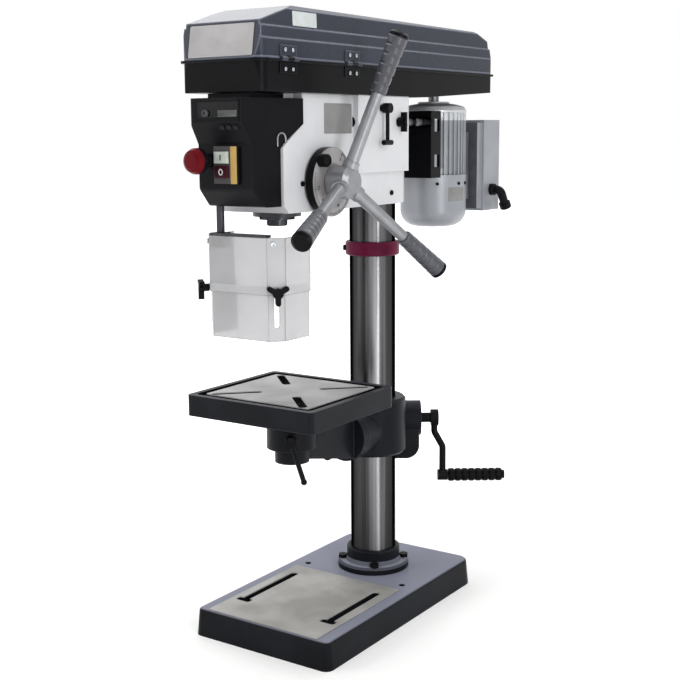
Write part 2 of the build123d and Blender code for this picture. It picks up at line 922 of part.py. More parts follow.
table_arm += lock_rod(0, lock_face, lock_boss)
tilt_head_seat = arm_front + 4
table_arm -= along_y(table_y, tilt_head_seat, 0, tilt_z, tilt_bolt_head + 3)
table_arm -= along_y(arm_front, tilt_seam + 1, 0, tilt_z, tilt_bolt_radius + seat_gap)
table_arm += upright(0, table_y, hub_step, hub_top, hub_radius)
table_arm += upright(0, table_y, hub_bottom, hub_step, hub_foot_radius)
table_arm -= upright(0, table_y, hub_bottom - 1, hub_top + 1, stem_radius + run_gap)
table_arm -= lock_rod(stem_radius - lock_bar, lock_face + 1, lock_screw + run_gap)
parts["table_arm"] = table_arm
tilt_bolt = along_y(tilt_head_seat, -bracket_bore - 0.7, 0, tilt_z, tilt_bolt_radius)
tilt_plane = Plane(origin=(0, tilt_head_seat, tilt_z), x_dir=(1, 0, 0), z_dir=(0, -1, 0))
tilt_bolt += extrude(tilt_plane * RegularPolygon(tilt_bolt_head, 6), amount=tilt_head_height)
parts["tilt_bolt"] = tilt_bolt
lock_out = lock_face + 2 * lock_bar
lock_lean = math.radians(lock_lean_deg)
lock_down = lock_side * math.sin(lock_lean) - Vector(0, 0, math.cos(lock_lean))
lock_lever = lock_rod(stem_radius + 2 * pass_gap, lock_out + lock_bar, lock_screw)
lock_lever += lock_rod(lock_face + 2 * pass_gap, lock_out + lock_bar + 1, lock_screw + lock_bar)
lock_lever += Plane(origin=lock_place(lock_out) + lock_down * (lock_reach / 2), z_dir=lock_down) * Cylinder(
    lock_bar, lock_reach
)
lock_tip = lock_place(lock_out) + lock_down * lock_reach
lock_lever += Pos(lock_tip.X, lock_tip.Y, lock_tip.Z) * Sphere(lock_ball)
parts["table_lock_lever"] = lock_lever

# Table with gutter, diagonal slots, hollow underside and stem
table_low = table_top - table_depth
table_front = table_y - table_half_y
table_rear = table_y + table_half_y
work_table = plan_solid(
    plan_box(table_half_x, table_front, table_rear, table_round), table_low, table_top
)
table_inner = plan_box(
    table_half_x - table_wall, table_front + table_wall, table_rear - table_wall, table_round
)
work_table -= plan_solid(table_inner, table_low - 1, table_top - table_roof)
gutter_outer = plan_box(
    table_half_x - gutter_inset, table_front + gutter_inset, table_rear - gutter_inset, table_round
)
gutter_far = gutter_inset + gutter_width
gutter_inner = plan_box(
    table_half_x - gutter_far, table_front + gutter_far, table_rear - gutter_far, table_round / 2
)
work_table -= plan_solid(gutter_outer - gutter_inner, table_top - gutter_depth, table_top + 1)
for corner in range(4):
    slot_mid = (table_slot_start + table_slot_end) / 2
    slot_plan = Pos(0, table_y) * Rot(0, 0, 45 + 90 * corner) * Pos(slot_mid, 0)
    slot_plan = slot_plan * SlotOverall(table_slot_end - table_slot_start, table_slot_width)
    work_table -= plan_solid(slot_plan, table_low - 1, table_top + 1)
work_table += upright(0, table_y, hub_top, table_top - table_roof + 1, hub_radius)
work_table += upright(0, table_y, stem_bottom, table_top - table_roof, stem_radius)
parts["work_table"] = work_table

# Quill, spindle and their bearings
feed_pitch_radius = feed_teeth * feed_module / 2
quill_face = quill_radius - quill_flat
quill_line = quill_face - feed_tip * feed_module
feed_y = spindle_y + quill_line + feed_pitch_radius + mesh_gap
bearing_low = quill_bottom + quill_bearing_lip
bearing_high = quill_top - quill_bearing_height
quill = upright(0, spindle_y, quill_bottom, quill_top, quill_radius)
quill -= upright(0, spindle_y, quill_bottom - 1, quill_top + 1, quill_bore)
quill -= upright(
    0, spindle_y, quill_bottom - 1, bearing_low + quill_bearing_height, quill_bearing + seat_gap
)
quill -= upright(0, spindle_y, bearing_high, quill_top + 1, quill_bearing + seat_gap)
teeth_low = feed_z - feed_pitch_radius
teeth_high = quill_top - 1
comb = [(quill_radius + 2, teeth_low), (quill_line - rack_root * feed_module, teeth_low)]
comb += rack_edge(
    feed_z, quill_line, feed_module, feed_tip, rack_root, tooth_slack, teeth_low, teeth_high
)
comb.append((quill_line - rack_root * feed_module, teeth_high))
comb.append((quill_radius + 2, teeth_high))
quill -= Pos(0, spindle_y, 0) * side_solid(flat(*comb), -quill_radius, quill_radius)
taper_top = nose_bottom + taper_length
drift_low = taper_top - 6
quill -= slab(
    -quill_radius - 1, quill_radius + 1, spindle_y - drift_width / 2, spindle_y + drift_width / 2,
    drift_low, drift_low + drift_height,
)
parts["quill"] = quill


def bearing_ring(y, z0, z1, inner, outer):
    ring = upright(0, y, z0, z1, outer) - upright(0, y, z0 - 1, z1 + 1, inner)
    middle = (inner + outer) / 2
    low = z1 - bearing_groove_depth
    groove = upright(0, y, low, z1 + 1, middle + bearing_groove_half)
    groove -= upright(0, y, low - 1, z1 + 2, middle - bearing_groove_half)
    return ring - groove


shaft_bore = spindle_radius + run_gap
parts["quill_bearings"] = group(
    [
        bearing_ring(
            spindle_y, bearing_low, bearing_low + quill_bearing_height, shaft_bore, quill_bearing
        ),
        bearing_ring(spindle_y, bearing_high, quill_top, shaft_bore, quill_bearing),
    ]
)


def spline_outline(grow):
    outline = Circle(spline_core + grow)
    for tooth in range(spline_count):
        key = Pos((spline_reach + grow) / 2, 0) * Rectangle(spline_reach + grow, spline_width + 2 * grow)
        outline += Rot(0, 0, 360 / spline_count * tooth) * key
    return outline


spindle = upright(0, spindle_y, nose_bottom, bearing_low - 0.5, spindle_nose)
spindle = chamfer(spindle.faces().sort_by(Axis.Z)[0].edges(), 1.5)
spindle += upright(0, spindle_y, bearing_low - 1, quill_top + 1, spindle_radius)
spindle += plan_solid(Pos(0, spindle_y) * spline_outline(0), quill_top, spindle_top)
taper_end = taper_mouth - taper_length * taper_slope
taper_points = [
    (0, nose_bottom - 1),
    (taper_mouth + taper_slope, nose_bottom - 1),
    (taper_end, taper_top),
    (0, taper_top),
]
spindle -= turned(taper_points, 0, spindle_y)
spindle -= slab(
    -spindle_radius - 1, spindle_radius + 1, spindle_y - drift_width / 2, spindle_y + drift_width / 2,
    drift_low, drift_low + drift_height,
)
parts["spindle"] = spindle

# Drive sleeve in the top of the head, with the spindle pulley
pulley_top = pulley_bottom + 3 * pulley_pitch + pulley_rim
sleeve = upright(0, spindle_y, sleeve_bottom, sleeve_top, drive_sleeve_radius)
sleeve += upright(
    0, spindle_y, sleeve_bearing_low + 2 * sleeve_bearing_height + 1, pulley_bottom, sleeve_shoulder
)
sleeve -= plan_solid(Pos(0, spindle_y) * spline_outline(2 * run_gap), sleeve_bottom - 1, sleeve_top + 1)
parts["drive_sleeve"] = sleeve
sleeve_rings = []
for place in range(2):
    ring_low = sleeve_bearing_low + place * sleeve_bearing_height
    sleeve_rings.append(
        bearing_ring(
            spindle_y, ring_low, ring_low + sleeve_bearing_height,
            drive_sleeve_radius + run_gap, sleeve_bearing,
        )
    )
parts["sleeve_bearings"] = group(sleeve_rings)


def groove_half(depth):
    return belt_width / 2 + belt_gap - depth * math.tan(math.radians(groove_half_deg))


def step_pulley(y, steps, bore):
    points = [(bore, pulley_bottom), (steps[0], pulley_bottom)]
    for step, radius in enumerate(steps):
        middle = pulley_bottom + pulley_rim / 2 + (step + 0.5) * pulley_pitch
        points.append((radius, middle - groove_half(0)))
        points.append((radius - groove_depth, middle - groove_half(groove_depth)))
        points.append((radius - groove_depth, middle + groove_half(groove_depth)))
        points.append((radius, middle + groove_half(0)))
        if step < len(steps) - 1:
            seam = pulley_bottom + pulley_rim / 2 + (step + 1) * pulley_pitch
            points.append((radius, seam))
            points.append((steps[step + 1], seam))
    points.append((steps[-1], pulley_top))
    points.append((bore, pulley_top))
    return turned(points, 0, y)


spindle_steps = (spindle_step_low, spindle_step_mid, spindle_step_high)
motor_steps = (motor_step_low, motor_step_mid, motor_step_high)
parts["spindle_pulley"] = step_pulley(spindle_y, spindle_steps, drive_sleeve_radius + seat_gap)
parts["motor_pulley"] = step_pulley(motor_y, motor_steps, motor_shaft + seat_gap)

# Belt on the middle steps
belt_z = pulley_bottom + pulley_rim / 2 + 1.5 * pulley_pitch
belt_out_spindle = spindle_steps[1] - belt_sink
belt_out_motor = motor_steps[1] - belt_sink
belt_lean = math.asin((belt_out_spindle - belt_out_motor) / (motor_y - spindle_y))


def belt_loop(inset):
    front_radius = belt_out_spindle - inset
    rear_radius = belt_out_motor - inset
    front = Pos(0, spindle_y) * Circle(front_radius)
    rear = Pos(0, motor_y) * Circle(rear_radius)
    sine = math.sin(belt_lean)
    cosine = math.cos(belt_lean)
    straight = flat(
        (-front_radius * cosine, spindle_y + front_radius * sine),
        (front_radius * cosine, spindle_y + front_radius * sine),
        (rear_radius * cosine, motor_y + rear_radius * sine),
        (-rear_radius * cosine, motor_y + rear_radius * sine),
    )
    return front + rear + straight


belt_foot = belt_width / 2 - belt_height * math.tan(math.radians(groove_half_deg))
belt = plan_solid(belt_loop(0), belt_z - belt_width / 2, belt_z + belt_width / 2)
belt -= plan_solid(belt_loop(belt_height), belt_z - belt_width, belt_z + belt_width)
for level in (-1, 1):
    edge_plane = Plane.XY.offset(belt_z + level * belt_width / 2)
    foot_plane = Plane.XY.offset(belt_z + level * belt_foot)
    belt -= loft([edge_plane * (Pos(0, spindle_y) * Circle(belt_out_spindle)),
                  foot_plane * (Pos(0, spindle_y) * Circle(belt_out_spindle - belt_height))])
    belt -= loft([edge_plane * (Pos(0, motor_y) * Circle(belt_out_motor)),
                  foot_plane * (Pos(0, motor_y) * Circle(belt_out_motor - belt_height))])
parts["drive_belt"] = belt

# Feed shaft with its pinion
feed_gear = pinion_outline(feed_teeth, feed_module, pinion_tip, pinion_root, tooth_slack)
feed_gear = side_solid(Pos(feed_y, feed_z) * feed_gear, -feed_pinion_half, feed_pinion_half)
cap_start = -(head_half + feed_boss_height)
feed_rod = feed_gear
feed_rod += along_x(feed_pinion_half, head_half + feed_boss_height, feed_y, feed_z, feed_journal)
feed_rod += along_x(cap_start, -feed_pinion_half, feed_y, feed_z, feed_journal)
feed_rod += along_x(head_half, feed_hub_end - feed_hub_face, feed_y, feed_z, feed_shaft)
feed_rod += along_x(cap_start - cap_depth + cap_wall + 3, -head_half, feed_y, feed_z, feed_shaft)
parts["feed_shaft"] = feed_rod

# Feed hub, three spokes and their grips
hub_middle = (feed_hub_start + feed_hub_end) / 2
cone = math.radians(spoke_cone_deg)
hub_points = [
    (feed_shaft + seat_gap, ring_start - 0.5),
    (feed_ring_seat, ring_start - 0.5),
    (feed_ring_seat, feed_hub_start),
    (feed_hub_radius, feed_hub_start),
    (feed_hub_radius, feed_hub_end - 7),
    (feed_hub_radius - 7, feed_hub_end),
    (0, feed_hub_end),
    (0, feed_hub_end - feed_hub_face + seat_gap),
    (feed_shaft + seat_gap, feed_hub_end - feed_hub_face + seat_gap),
]
feed_plane = Plane(origin=(0, feed_y, feed_z), x_dir=(0, 1, 0), z_dir=(1, 0, 0))
feed_hub = feed_plane * turned(hub_points)
handle_start = spoke_end - 6
handle_stop = handle_start + handle_length
spokes = []
grips = []
caps = []
for spoke in range(spoke_count):
    turn = math.radians(spoke_start_deg + 360 / spoke_count * spoke)
    way = Vector(
        math.sin(cone), -math.cos(cone) * math.sin(turn), math.cos(cone) * math.cos(turn)
    )
    spoke_plane = Plane(origin=(hub_middle, feed_y, feed_z), z_dir=way)
    boss_middle = (spoke_seat + spoke_boss_end) / 2
    boss_length = spoke_boss_end - spoke_seat
    feed_hub += spoke_plane * Pos(0, 0, boss_middle) * Cylinder(spoke_boss, boss_length)
    feed_hub -= spoke_plane * Pos(0, 0, boss_middle) * Cylinder(spoke_tang + seat_gap, boss_length + 4)
    spokes.append(
        spoke_plane
        * turned(
            [
                (0, spoke_seat),
                (spoke_tang, spoke_seat),
                (spoke_tang, spoke_boss_end + 0.2),
                (spoke_root, spoke_boss_end + 0.2),
                (spoke_tip, handle_start),
                (spoke_pin, handle_start),
                (spoke_pin, handle_stop - spoke_pin_short),
                (0, handle_stop - spoke_pin_short),
            ]
        )
    )
    grip_outline = [(spoke_pin + seat_gap, handle_start + 0.2)]
    for rib in range(handle_ribs):
        share = rib / handle_ribs
        next_share = (rib + 1) / handle_ribs
        low_place = handle_start + 0.2 + (handle_length - 0.2) * share
        high_place = handle_start + 0.2 + (handle_length - 0.2) * next_share
        wide = handle_root + (handle_end - handle_root) * (share + next_share) / 2
        grip_outline.append((wide - 1.2, low_place))
        grip_outline.append((wide, low_place + 2.5))
        grip_outline.append((wide, high_place - 2.5))
        grip_outline.append((wide - 1.2, high_place))
    grip_outline.append((0, handle_stop))
    grip_outline.append((0, handle_stop - spoke_pin_short + seat_gap))
    grip_outline.append((spoke_pin + seat_gap, handle_stop - spoke_pin_short + seat_gap))
    grips.append(spoke_plane * turned(grip_outline))
    caps.append(
        spoke_plane
        * turned(
            [
                (0, handle_stop),
                (handle_end, handle_stop),
                (handle_end, handle_stop + handle_cap - 3),
                (handle_end - 4, handle_stop + handle_cap),
                (0, handle_stop + handle_cap),
            ]
        )
    )
parts["feed_hub"] = feed_hub
parts["feed_spokes"] = group(spokes)
parts["feed_grips"] = group(grips)
parts["feed_grip_caps"] = group(caps)

# Depth ring on the hub, with its clamp knob
ring_bore = feed_ring_seat + run_gap
depth_ring = feed_plane * turned(
    [
        (ring_bore, ring_start),
        (ring_radius, ring_start),
        (ring_radius, ring_end - 1),
        (ring_radius - 1, ring_end),
        (ring_radius - ring_rim, ring_end),
        (ring_radius - ring_rim, ring_end - ring_dish),
        (ring_bore + 7, ring_end - ring_dish),
        (ring_bore + 7, ring_end),
        (ring_bore, ring_end),
    ]
)
knob_turn = math.radians(knob_deg)
knob_y = feed_y + knob_place * math.cos(knob_turn)
knob_z = feed_z + knob_place * math.sin(knob_turn)
depth_ring -= along_x(ring_start + 2, ring_end + 1, knob_y, knob_z, knob_stud + run_gap)
parts["depth_ring"] = depth_ring
depth_knob = along_x(ring_end + 0.4, ring_end + knob_height, knob_y, knob_z, knob_radius)
depth_knob = fillet(depth_knob.faces().sort_by(Axis.X)[-1].edges(), 3)
depth_knob += along_x(ring_start + 3, ring_end + 1, knob_y, knob_z, knob_stud)
parts["depth_knob"] = depth_knob

# Return spring in its cap on the left of the head
cap_end = cap_start - cap_depth
spring_cap = along_x(cap_end, -head_half, feed_y, feed_z, cap_radius)
spring_cap = fillet(spring_cap.faces().sort_by(Axis.X)[0].edges(), 4)
spring_cap -= along_x(cap_end + cap_wall, 1 - head_half, feed_y, feed_z, cap_radius - cap_wall)
parts["spring_cap"] = spring_cap
spring_edges = []
spring_inner = feed_shaft + pass_gap + spring_strip
for half in range(2 * spring_turns):
    arc_middle = 0 if half % 2 == 0 else spring_pitch / 4
    arc_radius = spring_inner + spring_pitch / 4 * half
    spring_edges.append(CenterArc((arc_middle, 0), arc_radius, 180 * (half % 2), 180))
spring_line = trace(Curve() + spring_edges, spring_strip)
spring_middle = (cap_start + cap_end + cap_wall) / 2
parts["return_spring"] = side_solid(
    Pos(feed_y, feed_z) * spring_line, spring_middle - spring_width / 2, spring_middle + spring_width / 2
)

# Head casting
barrel_outer = quill_radius + barrel_wall
sleeve_outer = column_radius + sleeve_wall
head_outline = flat(
    (head_front, head_bottom + head_chin),
    (head_front + head_chin, head_bottom),
    (0, head_bottom),
    (0, head_top),
    (head_step_front, head_top),
    (head_step_front, head_slope_high),
    (head_front, head_slope_low),
)
head = side_solid(head_outline, -head_half, head_half)
head += upright(0, 0, head_bottom, head_top, sleeve_outer)
head += upright(0, spindle_y, head_bottom, head_top, barrel_outer)
head += slab(-box_half, box_half, box_front, box_rear, box_bottom, head_top)
head += upright(0, spindle_y, lip_bottom, head_bottom + 1, quill_radius + lip_wall)
head += along_x(cap_start, -cap_start, feed_y, feed_z, feed_boss)
head += upright(post_x, post_y, post_lug_low, post_lug_high, post_lug_half)
head += slab(
    post_x - post_lug_half, post_x + post_lug_half, post_y, head_front + 1, post_lug_low, post_lug_high
)
room_half = head_half - head_wall
rod_guard = rod_radius + head_wall / 2
room = slab(
    -room_half, room_half, head_front + head_wall + 4, box_rear, head_bottom - 20, rod_z - rod_guard - 2
)
room -= slab(
    -head_half, head_half, head_front, head_step_front + head_wall, head_slope_low - head_wall, head_top
)
room += slab(
    -rod_offset + rod_guard, rod_offset - rod_guard, head_step_front, box_rear,
    box_bottom, head_top - head_wall,
)
room -= upright(0, 0, head_bottom - 30, head_top, sleeve_outer)
room -= upright(0, spindle_y, head_bottom - 30, head_top, quill_radius + lip_wall)
room -= along_x(-head_half, head_half, feed_y, feed_z, feed_journal + head_wall)
room -= along_x(-head_half, head_half, column_screw_y, column_screw_z, set_screw + head_wall)
room -= slab(0, head_half, lever_y - 24, lever_y + 24, rod_z - rod_guard, head_top)
head -= room
head -= upright(0, 0, head_bottom - 1, head_top + 1, column_bore)
head -= upright(0, spindle_y, lip_bottom - 1, quill_top + 2, quill_radius + run_gap)
head -= upright(0, spindle_y, lip_bottom - 1, head_top + 1, bearing_lip)
head -= upright(0, spindle_y, sleeve_bearing_low, head_top + 1, sleeve_bearing + seat_gap)
head -= along_x(cap_start - 1, 1 - cap_start, feed_y, feed_z, feed_journal + run_gap)
rod_room_front = rod_front - motor_travel - 2
for side in (-1, 1):
    head -= along_y(rod_room_front, sleeve_outer + 7, side * rod_offset, rod_z, rod_radius + run_gap)
head -= upright(post_x, post_y, post_lug_low - 1, post_lug_high + 1, post_radius + run_gap)
lever_bore = lever_shaft + run_gap
head -= along_x(rod_offset - 12, box_half + 1, lever_y, lever_z, lever_bore)
head -= slab(
    rod_offset - 5, rod_offset + 5, lever_y - lever_finger - 3, lever_y + 6,
    rod_z, lever_z + 2,
)
wing_tip = rod_offset + rod_radius + 0.4
head -= along_x(wing_tip - 2, box_half + 1, wing_y, rod_z, wing_screw + run_gap)
column_screw_tip = math.sqrt(column_radius**2 - (abs(column_screw_y) - set_screw) ** 2) + pass_gap
screw_spots = [
    (1, column_screw_tip, column_screw_y, column_screw_z),
    (-1, column_screw_tip, column_screw_y, column_screw_z),
    (1, head_half + 2 - set_screw_length, quill_screw_y, quill_screw_z),
]
set_screws = []
for side, tip, screw_y, screw_z in screw_spots:
    start = min(side * tip, side * (tip + set_screw_length))
    end = max(side * tip, side * (tip + set_screw_length))
    bore_end = side * (quill_radius - 6)
    head -= along_x(min(bore_end, start), max(bore_end, end + 1), screw_y, screw_z, set_screw + seat_gap)
    screw = along_x(start, end, screw_y, screw_z, set_screw)
    socket_plane = Plane(
        origin=(side * (tip + set_screw_length), screw_y, screw_z), x_dir=(0, 1, 0), z_dir=(-side, 0, 0)
    )
    screw -= extrude(socket_plane * RegularPolygon(2.6, 6), amount=5)
    set_screws.append(screw)
parts["head_casting"] = head
parts["head_set_screws"] = group(set_screws)

# Front cover
cover_slope = (cover_rear_half - cover_front_half) / (head_step_front - cover_front)


def cover_body(inset, reach):
    rear = head_step_front - cover_seam + reach
    low_rear = head_front - cover_seam + reach
    half_front = cover_front_half - inset
    half_rear = cover_rear_half - inset + cover_slope * reach
    plan = rounded(
        [
            (-half_front, cover_front + inset),
            (half_front, cover_front + inset),
            (half_rear, rear),
            (-half_rear, rear),
        ],
        [6, 6, 0, 0],
    )
    side = rounded(
        [
            (low_rear, cover_low + inset),
            (cover_low_front + inset + cover_chin, cover_low + inset),
            (cover_low_front + inset, cover_low + inset + cover_chin),
            (cover_low_front + inset, cover_shelf - cover_shelf_drop),
            (cover_front + inset, cover_shelf),
            (cover_front + inset, cover_top - inset),
            (rear, cover_top - inset),
            (rear, head_slope_high + cover_seam),
            (low_rear, head_slope_low + cover_seam),
        ],
        [0, 10, 10, 6, 6, 3, 0, 0, 0],
    )
    wide = cover_rear_half + 3 * cover_wall
    return plan_solid(plan, cover_low, cover_top) & side_solid(side, -wide, wide)


cover = cover_body(0, 0)
cover += slab(
    -cover_neck_half, cover_neck_half, cover_neck_front, head_step_front - cover_seam,
    cover_top - 2 * cover_wall, head_top - cover_seam,
)
cover -= cover_body(cover_wall, 2 * cover_wall)
cover -= upright(0, spindle_y, cover_low, head_top + 1, barrel_outer + pass_gap)
estop_y = cover_low_front - estop_collar_height
cover += along_y(estop_y, cover_low_front + cover_wall, estop_x, estop_z, estop_collar)
estop_bore = estop_stem + run_gap
cover -= along_y(estop_y - 1, cover_low_front + 20, estop_x, estop_z, estop_bore)
cover -= upright(post_x, post_y, cover_low - 1, cover_low + 2 * cover_wall, post_radius + 1.5)
button_rows = (start_z, stop_z)
for row in button_rows:
    cover -= slab(
        button_x - button_half - 1, button_x + button_half + 1,
        cover_low_front - 1, cover_low_front + cover_wall + 1,
        row - button_height / 2 - 1, row + button_height / 2 + 1,
    )
parts["front_cover"] = cover
parts["display_panel"] = slab(
    display_left, display_right, cover_front - display_thick, cover_front, display_low, display_high
)
switch_plate = slab(
    switch_left, switch_right, cover_low_front - switch_thick, cover_low_front, switch_low, switch_high
)
for row in button_rows:
    switch_plate -= slab(
        button_x - button_half - pass_gap, button_x + button_half + pass_gap,
        cover_low_front - switch_thick - 1, cover_low_front + 1,
        row - button_height / 2 - pass_gap, row + button_height / 2 + pass_gap,
    )
parts["switch_plate"] = switch_plate


def push_button(row):
    face = cover_low_front - switch_thick - button_proud
    button = slab(
        button_x - button_half, button_x + button_half, face, cover_low_front + 10,
        row - button_height / 2, row + button_height / 2,
    )
    return chamfer(button.faces().sort_by(Axis.Y)[0].edges(), 1)


parts["start_button"] = push_button(start_z)
parts["stop_button"] = push_button(stop_z)
estop_back = estop_y - estop_gap
estop_plane = Plane(origin=(estop_x, estop_back, estop_z), x_dir=(1, 0, 0), z_dir=(0, -1, 0))
estop = estop_plane * turned(
    [
        (0, -estop_gap - estop_collar_height - 12),
        (estop_stem, -estop_gap - estop_collar_height - 12),
        (estop_stem, 0),
        (estop_radius - 4, 0),
        (estop_radius, 4),
        (estop_radius, estop_head - 10),
        (estop_radius - 3, estop_head - 3),
        (estop_radius - 8, estop_head),
        (0, estop_head),
    ]
)
parts["estop_button"] = estop

# Pulley pan
pan_half = rim_half - rim_lip
pan_front = rim_front + rim_lip
pan_rear = rim_rear - rim_lip


def pan_body(inset, top):
    plan = plan_box(pan_half - inset, pan_front + inset, pan_rear - inset, pan_round - inset)
    side = flat(
        (pan_front + inset, top),
        (pan_front + inset + pan_end_lean, head_top + inset),
        (pan_break, head_top + inset),
        (pan_rear - inset - pan_end_lean, head_top + inset + pan_rise),
        (pan_rear - inset, top),
    )
    return plan_solid(plan, head_top, top) & side_solid(side, -pan_half, pan_half)


pan = pan_body(0, rim_z)
pan += plan_solid(plan_box(rim_half, rim_front, rim_rear, pan_round + rim_lip), rim_z - rim_thick, rim_z)
pan -= pan_body(pan_wall, rim_z + 1)
pan -= upright(0, spindle_y, head_top - 1, head_top + pan_wall + 1, sleeve_bearing + 1)
motor_hole = Pos(0, motor_y - motor_travel / 2) * SlotOverall(
    motor_travel + 4 * motor_shaft, 4 * motor_shaft, 90
)
pan -= plan_solid(motor_hole, head_top - 1, head_top + 2 * pan_rise)
for hinge_y in (hinge_front, hinge_rear):
    pan -= slab(
        pan_half, rim_half + 1, hinge_y - hinge_length / 2 - 2, hinge_y + hinge_length / 2 + 2,
        rim_z - rim_thick - 1, rim_z + 1,
    )
parts["pulley_pan"] = pan

# Hood lid with stepped sides
lid_front = pan_front
lid_rear = pan_rear


def lid_body(inset):
    half = pan_half - inset
    across = flat(
        (half, rim_z - inset),
        (half, lid_step_one - inset),
        (half - lid_ledge, lid_step_one - inset),
        (half - lid_ledge - 1, lid_step_two - inset),
        (half - 2 * lid_ledge - 1, lid_step_two - inset),
        (half - 2 * lid_ledge - 2, lid_step_three - inset),
        (lid_crown_half - inset, lid_top - inset),
        (-lid_crown_half + inset, lid_top - inset),
        (-half + 2 * lid_ledge + 2, lid_step_three - inset),
        (-half + 2 * lid_ledge + 1, lid_step_two - inset),
        (-half + lid_ledge + 1, lid_step_two - inset),
        (-half + lid_ledge, lid_step_one - inset),
        (-half, lid_step_one - inset),
        (-half, rim_z - inset),
    )
    side = flat(
        (lid_front + inset, rim_z - inset),
        (lid_front + lid_front_lean + inset, lid_front_high - inset),
        (lid_crown_front + inset, lid_top - inset),
        (lid_crown_rear - inset, lid_top - 3 - inset),
        (lid_rear_shoulder - inset, lid_rear_high - inset),
        (lid_rear - inset, rim_z - inset),
    )
    plan = plan_box(half, lid_front + inset, lid_rear - inset, pan_round - inset)
    tall = plan_solid(plan, rim_z - inset, lid_top)
    long = Plane.XZ.offset(-lid_rear - 1) * across
    long = extrude(long, amount=lid_rear - lid_front + 2, dir=(0, -1, 0))
    return tall & side_solid(side, -half, half) & long


hood_lid = lid_body(0) - lid_body(lid_wall)
parts["hood_lid"] = hood_lid

# Hinges on the right of the hood
hinge_x = pan_half + hinge_barrel + 0.3
leaf_inner = pan_half
leaf_outer = pan_half + hinge_leaf
lid_leaves = []
pan_leaves = []
for hinge_y in (hinge_front, hinge_rear):
    front_end = hinge_y - hinge_length / 2
    rear_end = hinge_y + hinge_length / 2
    middle_front = hinge_y - hinge_middle / 2
    middle_rear = hinge_y + hinge_middle / 2
    leaf_gap = hinge_barrel + 0.5
    leaf_top = rim_z + hinge_leaf_height
    lid_leaf = slab(leaf_inner, leaf_outer, front_end, rear_end, rim_z + leaf_gap, leaf_top)
    for start, end in ((front_end, middle_front - hinge_slack), (middle_rear + hinge_slack, rear_end)):
        lid_leaf += along_y(start, end, hinge_x, rim_z, hinge_barrel)
        lid_leaf += slab(leaf_inner, leaf_outer, start, end, rim_z, rim_z + leaf_gap + 1)
    lid_leaf += along_y(front_end, rear_end, hinge_x, rim_z, hinge_pin)
    lid_leaf -= slab(leaf_inner - 1, leaf_inner, front_end, rear_end, rim_z - 9, rim_z + 9)
    lid_leaves.append(lid_leaf)
    leaf_foot = rim_z - hinge_leaf_height
    pan_leaf = slab(leaf_inner, leaf_outer, front_end, rear_end, leaf_foot, rim_z - leaf_gap)
    pan_leaf += along_y(middle_front, middle_rear, hinge_x, rim_z, hinge_barrel)
    pan_leaf += slab(leaf_inner, leaf_outer, middle_front, middle_rear, rim_z - leaf_gap - 1, rim_z)
    pan_leaf -= along_y(front_end - 1, rear_end + 1, hinge_x, rim_z, hinge_pin + run_gap)
    pan_leaves.append(pan_leaf)
parts["hinge_lid_leaves"] = group(lid_leaves)
parts["hinge_pan_leaves"] = group(pan_leaves)

# Motor on its sliding plate
plate_rear = plate_front + plate_thick
motor_plate = slab(-plate_half, plate_half, plate_front, plate_rear, plate_low, plate_high)
for side in (-1, 1):
    inner = side * (plate_half - plate_flange_thick)
    outer = side * plate_half
    motor_plate += slab(
        min(inner, outer), max(inner, outer), plate_front, plate_rear + plate_flange, plate_low, plate_high
    )
    rod_hole = rod_end_radius + seat_gap
    motor_plate -= along_y(plate_front - 1, plate_rear + 1, side * rod_offset, rod_z, rod_hole)
    for window in (foot_low + 4, foot_high - 4 - plate_window):
        motor_plate -= slab(
            min(inner, outer) - 1, max(inner, outer) + 1, plate_rear + 4, plate_rear + plate_flange - 5,
            window, window + plate_window,
        )
parts["motor_plate"] = motor_plate
rods = []
for side in (-1, 1):
    rod = along_y(rod_front, plate_front, side * rod_offset, rod_z, rod_radius)
    rod += along_y(plate_front - 1, plate_rear, side * rod_offset, rod_z, rod_end_radius)
    rod -= slab(
        side * rod_offset - rod_radius, side * rod_offset + rod_radius,
        lever_y - lever_finger_width / 2 - 1.2, lever_y + lever_finger_width / 2 + 1.2,
        lever_z - lever_finger - 1, rod_z + rod_radius + 1,
    )
    rods.append(rod)
parts["slide_rods"] = group(rods)

fin_plan = Pos(0, motor_y) * Circle(motor_core)
for fin in range(motor_fins):
    fin_place = Pos(0, motor_y) * Rot(0, 0, 360 / motor_fins * fin) * Pos(motor_fin - 4, 0)
    fin_plan += fin_place * Rectangle(8, motor_fin_width)
housing = plan_solid(fin_plan, motor_low, motor_fins_top)
housing += turned(
    [
        (0, motor_fins_top - 2),
        (motor_fin + bell_rim, motor_fins_top - 2),
        (motor_fin + bell_rim, motor_fins_top + 2),
        (motor_fin - 4, motor_fins_top + 9),
        (motor_fin - 18, motor_bell_top - 5),
        (motor_bearing + bell_wall, motor_bell_top - bell_rise),
        (motor_bearing + bell_wall, motor_bell_top),
        (0, motor_bell_top),
    ],
    0,
    motor_y,
)
housing += slab(-foot_half, foot_half, plate_rear, motor_y, foot_low, foot_high)
housing += slab(-foot_half / 2, foot_half / 2, motor_y, terminal_front, foot_low + 20, foot_high)
shaft_clear = motor_shaft + 1.5
bell_seat = motor_bell_top - motor_seat_wall - motor_bearing_height
shield_seat = motor_low + motor_seat_wall
housing -= upright(0, motor_y, motor_low + motor_shield, bell_seat, motor_bore)
housing += upright(0, motor_y, stack_low, stack_high, motor_bore + 1) - upright(
    0, motor_y, stack_low - 1, stack_high + 1, stack_bore
)
housing -= upright(0, motor_y, motor_low - 1, motor_bell_top + 1, shaft_clear)
housing -= upright(0, motor_y, bell_seat - 1, bell_seat + motor_bearing_height, motor_bearing + seat_gap)
housing -= upright(
    0, motor_y, shield_seat, shield_seat + motor_bearing_height + 1, motor_bearing + seat_gap
)
parts["motor_housing"] = housing
motor_bore_gap = motor_shaft + run_gap
